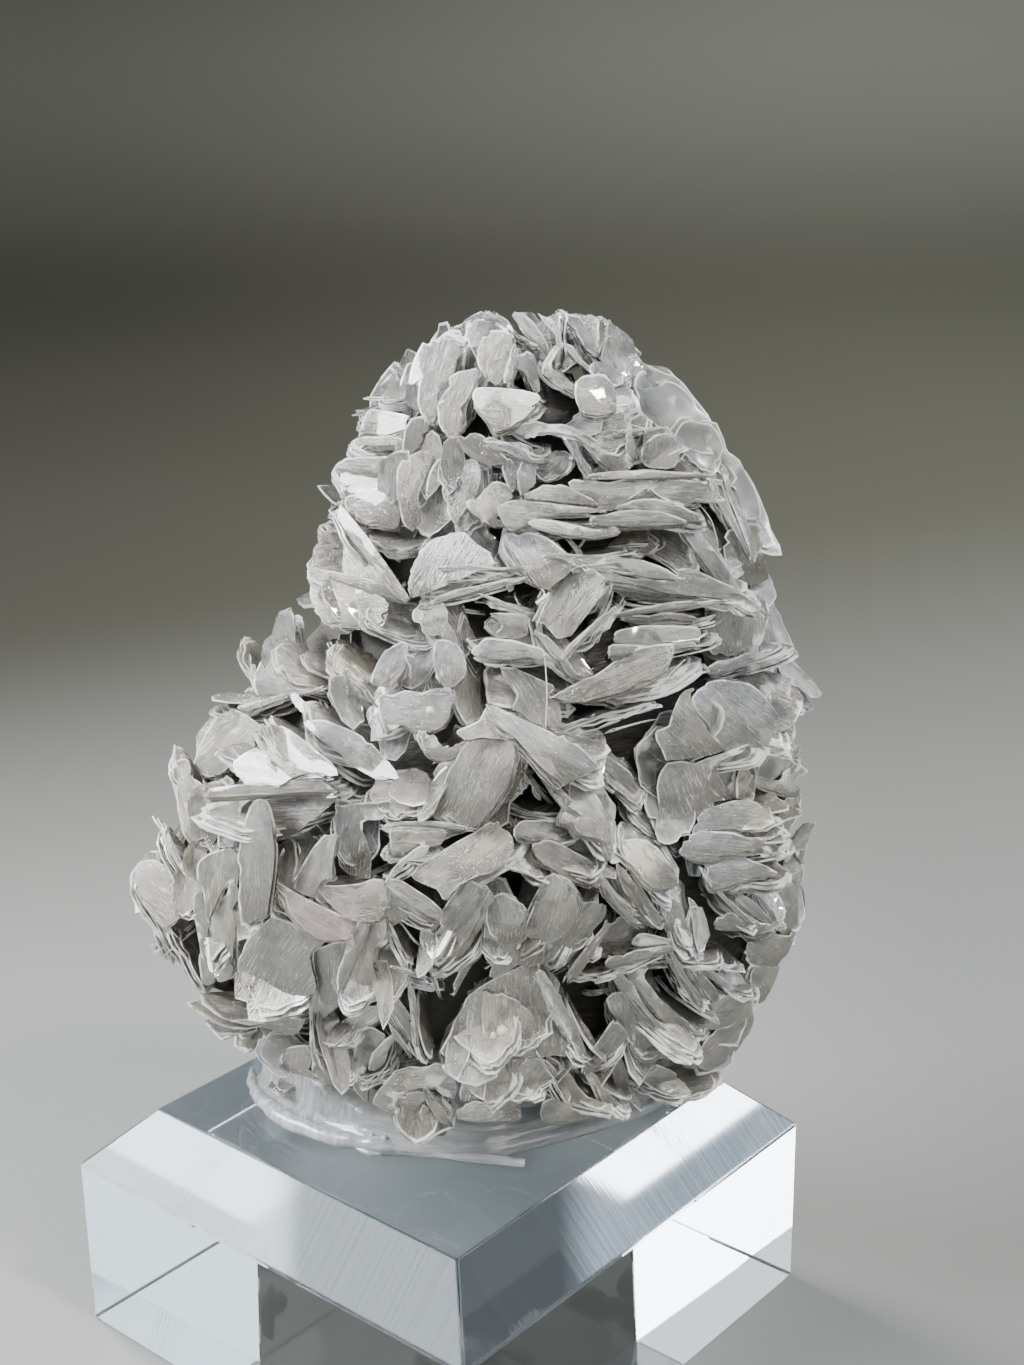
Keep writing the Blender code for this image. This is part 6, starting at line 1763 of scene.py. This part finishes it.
def clear_mica_material(settings):
    """Thin clear plates of mica, faintly grey, with milky patches."""
    made, graph, where = new_material("clear_mica")
    cloud = graph.noise(where, spots(2.4), 4.0, 0.6)
    _, _, rim = graph.split(graph.attribute("place", "Vector"))
    bump = graph.bump(0.3, 0.1, cloud)
    glass = principled(
        graph, Base_Color=colour(settings.clear_colour), Roughness=0.14 + 0.16 * cloud, Normal=bump,
        IOR=1.5, Transmission_Weight=0.9,
    )
    milk = principled(
        graph, Base_Color=colour(settings.edge_and_glint_colour), Roughness=0.35, Normal=bump, IOR=1.56,
    )
    factor = (cloud.over(0.5, 0.75) * 0.55 + rim.over(0.9, 1.0) * 0.8).clamped()
    finish_material(graph, graph.add("ShaderNodeMixShader", inputs={0: factor, 1: glass, 2: milk}))
    return made


def dust_material(settings):
    """Cream crumbs and fibres."""
    made, graph, where = new_material("mica_dust")
    mottle = graph.noise(where, spots(0.4), 3.0)
    finish_material(graph, principled(
        graph, Base_Color=graph.scaled(colour(settings.dust_colour), 0.7 + 0.5 * mottle),
        Roughness=0.35 + 0.2 * mottle, Normal=graph.bump(0.6, 0.1, mottle), IOR=1.5,
    ))
    return made


def heart_material(settings):
    """The shaded inside of the cluster, leafy and grey-brown, and paler where it stands in the resin."""
    made, graph, where = new_material("mica_inside")
    flaky = graph.noise(graph.stretched(where, (1.0, 1.0, 3.0)), spots(2.5), 4.0, 0.65)
    across, _, up = graph.split(where)
    low = up.over(33 * MM, 26 * MM)
    shade = graph.mix(low, colour(settings.heart_colour), colour(settings.foot_colour))
    # painted shade: the inside is lighter on the left and darker on the right
    base = graph.scaled(shade, (0.5 + flaky) * (1.0 + across.over(8 * MM, -8 * MM) * 1.4))
    finish_material(graph, principled(
        graph, Base_Color=base, Roughness=0.35 + 0.3 * flaky, Normal=graph.bump(0.8, 0.6, flaky), IOR=1.5,
    ))
    return made


def resin_material(settings, name, haze):
    """Clear resin, faintly hazy, with flow lines round it and fine upright streaks on its left."""
    made, graph, where = new_material(name)
    across, _, _ = graph.split(where)
    streak = graph.noise(graph.stretched(where, (1.0, 1.0, 0.08)), spots(0.7), 3.0, 0.6)
    flow = graph.noise(graph.stretched(where, (0.12, 0.12, 1.0)), spots(0.6), 3.0, 0.6)
    wave = graph.noise(where, spots(3), 2.0)
    left = across.over(-4 * MM, -12 * MM)
    height = streak * left * 0.9 + flow * (1.1 - left) * 0.6 + wave * 0.7
    lines = streak.over(0.4, 0.7) * left + flow.over(0.35, 0.7) * (1.0 - left)
    finish_material(graph, principled(
        graph, Base_Color=graph.scaled(colour(settings.resin_colour), 0.72 + 0.5 * lines),
        Roughness=0.04 + 0.14 * lines, Normal=graph.bump(0.6, 0.4, height), IOR=1.49,
        Transmission_Weight=1.0 - haze, Coat_Weight=1.0, Coat_Roughness=0.02,
    ))
    return made


def acrylic_material(settings):
    """Clear polished acrylic; the bevels keep the fine lines of the cutter, and parts of the front bevels
    carry painted shade and a painted bluish reflection.
    """
    made, graph, where = new_material("clear_acrylic")
    cut = graph.attribute("cut")
    along = graph.attribute("along")
    line = graph.joined(along)
    lines = graph.noise(line, spots(0.4), 3.0, 0.7)
    ridges = (along * (2 * math.pi / (0.62 * MM))).sine() * 0.5 + 0.5
    band = graph.noise(line, spots(7), 1.0).over(0.48, 0.6)
    scuff = graph.noise(where, spots(0.5), 5.0, 0.7)
    height = cut * (lines * 0.5 + ridges * band * 0.4) + scuff * 0.02
    bump = graph.bump(0.6, 0.05, height)
    # run goes from 1 to 2 along the front left bevel and from 3 to 4 along the front right one
    run = graph.attribute("run")
    # painted shade: the right half of the front left bevel is dimmed by a darker milky veil, and the near
    # part of the front right bevel is darkened; further along it a bluish milky veil is a painted reflection
    painted_dim = run.over(1.5, 1.62) * (1.0 - run.over(2.2, 2.3))
    painted_sky_reflection = run.over(3.3, 3.4) * (1.0 - run.over(4.1, 4.2))
    shade = painted_dim * 0.7 + run.over(2.9, 3.0) * (1.0 - run.over(3.26, 3.34)) * 0.85
    clear = principled(
        graph, Base_Color=graph.scaled(colour(settings.acrylic_colour), 1.0 - shade),
        Roughness=cut * 0.09 + 0.012 + 0.03 * scuff.over(0.6, 0.75), Normal=bump, IOR=1.49,
        Transmission_Weight=1.0,
    )
    scattered = graph.scaled(colour(settings.bevel_haze_and_reflection_colour), (1.0 - painted_dim * 0.88) * (0.7 + 0.6 * lines))
    milky = principled(
        graph, Base_Color=scattered, Roughness=0.3, Normal=bump, IOR=1.49, Specular_IOR_Level=0.15,
    )
    _, _, up = graph.split(where)
    top = up.over(23.25 * MM, 23.33 * MM) * (1.0 - cut)
    cuts = lines.over(0.4, 0.7)
    veil = (
        cut * (1.0 - shade) * (0.06 + 0.16 * cuts) + painted_dim * (0.72 + 0.2 * cuts)
        + painted_sky_reflection * 0.24 + top * 0.035
    )
    finish_material(graph, graph.add("ShaderNodeMixShader", inputs={0: veil, 1: clear, 2: milky}))
    return made


def floor_material(settings):
    """The plain floor, which darkens as it rises behind and pales again as a far wall; its dark fade is
    painted shade.
    """
    made, graph, where = new_material("floor")
    soft = graph.noise(where, 8.0, 3.0)
    across, back, _ = graph.split(where)
    # painted shade: the backdrop and the wall are darker on the left, and the near floor is darker on the
    # right
    dim = graph.scaled(colour(settings.backdrop_colour), 0.45 + across.over(-0.2, 0.2) * 0.85)
    wall = graph.scaled(colour(settings.wall_colour), 0.72 + across.over(-0.3, 0.3) * 0.8)
    near = graph.scaled(colour(settings.floor_colour), 1.0 - across.over(-0.01, 0.07) * 0.36)
    base = graph.mix((back - across * 0.45).over(0.0, 0.28), near, dim)
    base = graph.mix(back.over(0.6, 1.2), base, wall)
    finish_material(graph, principled(
        graph, Base_Color=graph.scaled(base, 0.97 + 0.06 * soft), Roughness=0.55 + 0.1 * soft,
        Specular_IOR_Level=0.3,
    ))
    return made


# Settings

COLOUR = {"min": 0.0, "max": 1.0, "subtype": "COLOR"}
SHARE = {"min": 0.0, "max": 1.0, "subtype": "FACTOR"}
LENGTH = {"min": 0.0, "subtype": "DISTANCE", "unit": "LENGTH"}


class MicaSettings(bpy.types.PropertyGroup):
    """Sizes and colours of the specimen and its stage."""

    leaf_thickness: FloatProperty(
        name="Leaf thickness", description="Thickness of one leaf of mica",
        default=0.15 * MM, min=0.02 * MM, subtype="DISTANCE", unit="LENGTH",
    )
    warp: FloatProperty(
        name="Warp", description="How far the leaves swell out of flat",
        default=0.5 * MM, **LENGTH,
    )
    ragged: FloatProperty(
        name="Ragged edge", description="How far the torn edge of a leaf wanders",
        default=0.22 * MM, **LENGTH,
    )
    seed: IntProperty(name="Seed", description="Seed of the leaves' small differences", default=1, min=0)
    mica_translucence: FloatProperty(
        name="Mica translucence", description="How much shows through the thin patches of a leaf",
        default=1.0, **SHARE,
    )
    cool_colour: FloatVectorProperty(
        name="Mica, cool", description="Colour of the coolest leaves",
        default=(0.64, 0.65, 0.66), **COLOUR,
    )
    warm_colour: FloatVectorProperty(
        name="Mica, warm", description="Colour of the warmest leaves",
        default=(0.71, 0.645, 0.525), **COLOUR,
    )
    # painted shade of the leaves deep in the cluster, with a little brown stain
    root_shade_colour: FloatVectorProperty(
        name="Mica, root", description="Stain of the leaves deep in the cluster",
        default=(0.14, 0.12, 0.09), **COLOUR,
    )
    # painted shade of the dark inside, showing through the thin patches of a leaf
    thin_patch_shade_colour: FloatVectorProperty(
        name="Mica, thin", description="Colour of the thin, see-through patches of a leaf",
        default=(0.2, 0.205, 0.215), **COLOUR,
    )
    # the white of the torn edges, which also gives the painted glints
    edge_and_glint_colour: FloatVectorProperty(
        name="Mica, edge", description="Colour of the torn edges",
        default=(0.97, 0.965, 0.93), **COLOUR,
    )
    clear_colour: FloatVectorProperty(
        name="Mica, clear", description="Tint of the clear plates",
        default=(0.86, 0.87, 0.86), **COLOUR,
    )
    heart_colour: FloatVectorProperty(
        name="Inside", description="Colour of the shaded inside of the cluster",
        default=(0.05, 0.047, 0.042), **COLOUR,
    )
    blush_colour: FloatVectorProperty(
        name="Blush", description="Colour of the pink stain on one leaf low on the left",
        default=(0.5, 0.36, 0.36), **COLOUR,
    )
    dust_colour: FloatVectorProperty(
        name="Dust", description="Colour of the crumbs and fibres caught on the mica",
        default=(0.84, 0.76, 0.6), **COLOUR,
    )
    foot_colour: FloatVectorProperty(
        name="Inside, at the foot", description="Colour of the leaves set in the resin",
        default=(0.5, 0.48, 0.43), **COLOUR,
    )
    resin_haze: FloatProperty(
        name="Resin haze", description="Share of the light that the resin scatters rather than lets through",
        default=0.4, **SHARE,
    )
    lip_haze: FloatProperty(
        name="Lip haze", description="How milky the rolled lip of the resin is",
        default=0.5, **SHARE,
    )
    resin_colour: FloatVectorProperty(
        name="Resin", description="Tint of the clear resin",
        default=(0.95, 0.96, 0.96), **COLOUR,
    )
    acrylic_colour: FloatVectorProperty(
        name="Acrylic", description="Tint of the clear block",
        default=(0.915, 0.962, 0.995), **COLOUR,
    )
    # the colour that the cutter's fine lines scatter, also used for the painted shade and reflection on the
    # front bevels
    bevel_haze_and_reflection_colour: FloatVectorProperty(
        name="Bevel", description="Colour that the cutter's fine lines scatter",
        default=(0.58, 0.73, 0.88), **COLOUR,
    )
    chamfer: FloatProperty(
        name="Chamfer", description="Width of the polished chamfer on the block's edges",
        default=0.22 * MM, **LENGTH,
    )
    floor_colour: FloatVectorProperty(
        name="Floor", description="Colour of the plain floor",
        default=(0.292, 0.298, 0.288), **COLOUR,
    )
    # painted shade that the floor fades to as it rises behind
    backdrop_colour: FloatVectorProperty(
        name="Backdrop", description="Colour that the floor fades to as it rises behind",
        default=(0.06, 0.06, 0.046), **COLOUR,
    )
    wall_colour: FloatVectorProperty(
        name="Wall", description="Colour of the far wall that the backdrop rises into",
        default=(0.23, 0.23, 0.192), **COLOUR,
    )
    light_strength: FloatProperty(
        name="Light", description="Strength of every lamp, as a multiple of its own", default=1.0, min=0.0,
    )


# Operators

class MICA_OT_heart(bpy.types.Operator):
    """Make the dark inside of the cluster, which the leaves stand on"""

    bl_idname = "mica.heart"
    bl_label = "Inside of the cluster"

    def execute(self, context):
        noise.seed_set(HEART_SEED)
        shape = bmesh.new()
        rings = []
        for up in HEART_HEIGHTS:
            left, right, depth = envelope(up)
            ring = []
            for i in range(HEART_SIDES):
                angle = 2 * math.pi * i / HEART_SIDES
                across = (left + right) / 2 + (right - left) / 2 * HEART_SHRINK * math.cos(angle)
                y = math.sin(angle) * depth * (HEART_BACK if math.sin(angle) > 0 else HEART_FRONT)
                point = on_sight(across, up, y)
                point += noise.noise_vector(point / HEART_LUMP_SIZE) * HEART_LUMPS
                point.z = max(point.z, FOOT_BASE + HEART_LIFT)
                ring.append(shape.verts.new(point))
            rings.append(ring)
        close_rings(shape, rings)
        piece = link_shape("mica_heart", shape)
        dress(piece, heart_material(context.scene.mica_specimen), "mica", "mica_cluster")
        return {"FINISHED"}


class MICA_OT_books(bpy.types.Operator):
    """Grow the books of mica on the front, the sides and the back"""

    bl_idname = "mica.books"
    bl_label = "Books of mica"

    def execute(self, context):
        settings = context.scene.mica_specimen
        mica = mica_material(settings)
        values = {
            "Leaf Thickness": settings.leaf_thickness, "Warp": settings.warp,
            "Ragged": settings.ragged, "Seed": settings.seed,
        }
        books, clear = front_books()
        upper = [row for row in books if row["up"] >= UPPER_FROM]
        lower = [row for row in books if row["up"] < UPPER_FROM]
        flakes = flake_collection("flakes", FLAKE_SIDES, FLAKE_RINGS)
        chips = flake_collection("chips", CHIP_SIDES, CHIP_RINGS)
        groups = (
            ("mica_books_upper", upper, flakes),
            ("mica_books_lower", lower, flakes),
            ("mica_books_back", back_books(), chips),
            ("mica_fringe", fringe(), chips),
            ("mica_chips_front", front_chips(), chips),
            ("mica_chips_back", back_scatter(*BACK_CHIPS), chips),
            ("mica_fill_back", back_scatter(*BACK_FILL), chips),
        )
        for name, rows, kind in groups:
            dress(grow_books(name, rows, kind, mica, **values), mica, "mica")
        shape = bmesh.new()
        for path in FIBRES:
            points = [(*on_sight(x, z, -depth_at(x, z) - out), FIBRE_RADIUS) for x, z, out in path]
            thread(shape, points, FIBRE_SIDES)
        for x, z, out, size in CRUMBS:
            made = bmesh.ops.create_icosphere(shape, subdivisions=1, radius=size)
            at = on_sight(x, z, -depth_at(x, z) - out)
            for vert in made["verts"]:
                lump = CRUMB_LUMPS * noise.noise(vert.co * CRUMB_FINENESS + at)
                vert.co = at + vert.co * (1.0 + lump)
        dress(link_shape("mica_dust", shape), dust_material(settings), "mica")
        sheets = sheet_rows()
        half = len(sheets) // 2
        for name, rows in (("mica_sheets_high", sheets[:half]), ("mica_sheets_low", sheets[half:])):
            dress(drawn_sheets(name, rows), mica, "mica")
        glassy = clear_mica_material(settings)
        values["Leaf Thickness"] = settings.leaf_thickness * CLEAR_THICKER
        dress(grow_books("mica_clear_plates", clear, flakes, glassy, **values), glassy, "mica")
        for collection in (flakes, chips):
            for helper in list(collection.objects):
                bpy.data.objects.remove(helper)
            bpy.data.collections.remove(collection)
        return {"FINISHED"}


class MICA_OT_foot(bpy.types.Operator):
    """Pour the clear resin foot, with its rolled lip and its stray thread"""

    bl_idname = "mica.foot"
    bl_label = "Resin foot"

    def execute(self, context):
        settings = context.scene.mica_specimen
        outline = smooth_loop(FOOT_OUTLINE, FOOT_OUTLINE_STEPS)
        count = len(outline)
        shape = bmesh.new()
        rings = []
        for inset, z in FOOT_PROFILE:
            ring = []
            for i, (x, y) in enumerate(outline):
                before, after = outline[i - 1], outline[(i + 1) % count]
                outward = Vector((after[1] - before[1], before[0] - after[0], 0.0)).normalized()
                rise = skirt_rise(x, y) * max(0.0, (z - SKIRT_FROM) / SKIRT_OVER)
                ripple = noise.noise(Vector((x, y, z)) / FOOT_RIPPLE_SIZE) * FOOT_RIPPLE
                inward = outward * (inset + ripple - SKIRT_FLARE * rise)
                ring.append(shape.verts.new(Vector((x, y, FOOT_BASE + z + rise)) - inward))
            rings.append(ring)
        close_rings(shape, rings)
        resin = resin_material(settings, "clear_resin", settings.resin_haze)
        dress(link_shape("resin_pool", shape), resin, "clear_resin", "resin_foot")
        shape = bmesh.new()
        thread(shape, RESIN_LIP, LIP_SIDES)
        for bead in RESIN_BEADS:
            thread(shape, bead, BEAD_SIDES)
        bright = resin_material(settings, "bright_resin", settings.lip_haze)
        dress(link_shape("resin_lip", shape), bright, "clear_resin")
        return {"FINISHED"}


def bevel_faces(shape):
    """The broad sloping faces round the top of the block."""
    least, most = BEVEL_UPRIGHT
    return [
        face for face in shape.faces
        if least < face.normal.z < most and face.calc_area() > BLOCK_BEVEL
    ]


class MICA_OT_block(bpy.types.Operator):
    """Cut the clear block, with polished chamfers on all its edges"""

    bl_idname = "mica.block"
    bl_label = "Clear block"

    def execute(self, context):
        settings = context.scene.mica_specimen
        shape = bmesh.new()
        bmesh.ops.create_cube(shape, size=1.0)
        bmesh.ops.scale(shape, vec=(BLOCK_SIDE, BLOCK_SIDE, BLOCK_TOP), verts=shape.verts[:])
        top = [edge for edge in shape.edges if all(vert.co.z > 0 for vert in edge.verts)]
        bmesh.ops.bevel(
            shape, geom=top, offset=BLOCK_BEVEL, offset_type="OFFSET",
            segments=1, profile=0.5, affect="EDGES",
        )
        cut = shape.verts.layers.float.new("cut")
        along = shape.verts.layers.float.new("along")
        run = shape.verts.layers.float.new("run")
        bmesh.ops.translate(shape, vec=(0.0, 0.0, BLOCK_TOP / 2), verts=shape.verts[:])
        bmesh.ops.bevel(
            shape, geom=shape.edges[:], offset=settings.chamfer / MM, offset_type="OFFSET",
            segments=2, profile=0.5, affect="EDGES",
        )
        shape.normal_update()
        for face in bevel_faces(shape):
            faces_y = abs(face.normal.y) > abs(face.normal.x)
            for vert in face.verts:
                vert[cut] = 1.0
                vert[along] = (vert.co.x if faces_y else vert.co.y) * MM
        turned = Matrix.Rotation(math.radians(BLOCK_TURN), 3, "Z")
        bmesh.ops.rotate(shape, cent=(0.0, 0.0, 0.0), matrix=turned, verts=shape.verts[:])
        shape.normal_update()
        for face in bevel_faces(shape):
            if face.normal.y >= 0:
                continue
            reach = [vert.co.x for vert in face.verts]
            for vert in face.verts:
                share = (vert.co.x - min(reach)) / (max(reach) - min(reach))
                vert[run] = share + (1.0 if face.normal.x < 0 else 3.0)
        piece = link_shape("acrylic_block_polished", shape, smooth=False)
        dress(piece, acrylic_material(settings), "clear_acrylic", "acrylic_block")
        return {"FINISHED"}


class MICA_OT_stage(bpy.types.Operator):
    """Set the plain floor, the soft lights and the camera"""

    bl_idname = "mica.stage"
    bl_label = "Stage"

    def execute(self, context):
        settings = context.scene.mica_specimen
        floor = link_mesh("floor", sweep_mesh())
        floor.data.materials.append(floor_material(settings))
        for name, azimuth, elevation, distance, size, power, tint in LAMPS:
            data = bpy.data.lights.new(name, "AREA")
            data.shape = "RECTANGLE"
            data.size, data.size_y = size
            data.energy = power * settings.light_strength
            data.color = tint
            lamp = bpy.data.objects.new(name, data)
            rise, around = math.radians(elevation), math.radians(azimuth)
            level = math.cos(rise)
            away = Vector((math.sin(around) * level, math.cos(around) * level, math.sin(rise)))
            lamp.location = Vector(LAMP_AIM) + away * distance
            lamp.rotation_euler = away.to_track_quat("Z", "Y").to_euler()
            context.scene.collection.objects.link(lamp)
        world = bpy.data.worlds.new("studio")
        world.use_nodes = True
        sky = world.node_tree.nodes["Background"].inputs
        sky["Color"].default_value = WORLD_COLOUR
        sky["Strength"].default_value = WORLD_STRENGTH
        context.scene.world = world
        data = bpy.data.cameras.new("camera")
        data.sensor_width = CAMERA_SENSOR
        data.lens = CAMERA_LENS
        data.clip_start = CAMERA_CLIP
        camera = bpy.data.objects.new("camera", data)
        camera.matrix_world = Matrix.Translation(FRONT_EYE * MM) @ camera_turn(4)
        context.scene.collection.objects.link(camera)
        context.scene.camera = camera
        return {"FINISHED"}


class MICA_PT_panel(bpy.types.Panel):
    """Lists the pieces of the specimen and their settings"""

    bl_idname = "MICA_PT_panel"
    bl_label = "Mica crystal"
    bl_space_type = "VIEW_3D"
    bl_region_type = "UI"
    bl_category = "Mica"

    def draw(self, context):
        for operator in OPERATORS:
            self.layout.operator(operator.bl_idname)
        settings = context.scene.mica_specimen
        for name in MicaSettings.__annotations__:
            self.layout.prop(settings, name)


OPERATORS = (MICA_OT_heart, MICA_OT_books, MICA_OT_foot, MICA_OT_block, MICA_OT_stage)
CLASSES = (MicaSettings, *OPERATORS, MICA_PT_panel)


def register():
    """Adds the settings, the operators and the panel."""
    for kind in CLASSES:
        bpy.utils.register_class(kind)
    bpy.types.Scene.mica_specimen = PointerProperty(type=MicaSettings)


def unregister():
    """Takes them away again."""
    del bpy.types.Scene.mica_specimen
    for kind in reversed(CLASSES):
        bpy.utils.unregister_class(kind)


def main():
    """Makes every piece."""
    register()
    for operator in OPERATORS:
        group, name = operator.bl_idname.split(".")
        getattr(getattr(bpy.ops, group), name)()


if __name__ == "__main__":
    main()
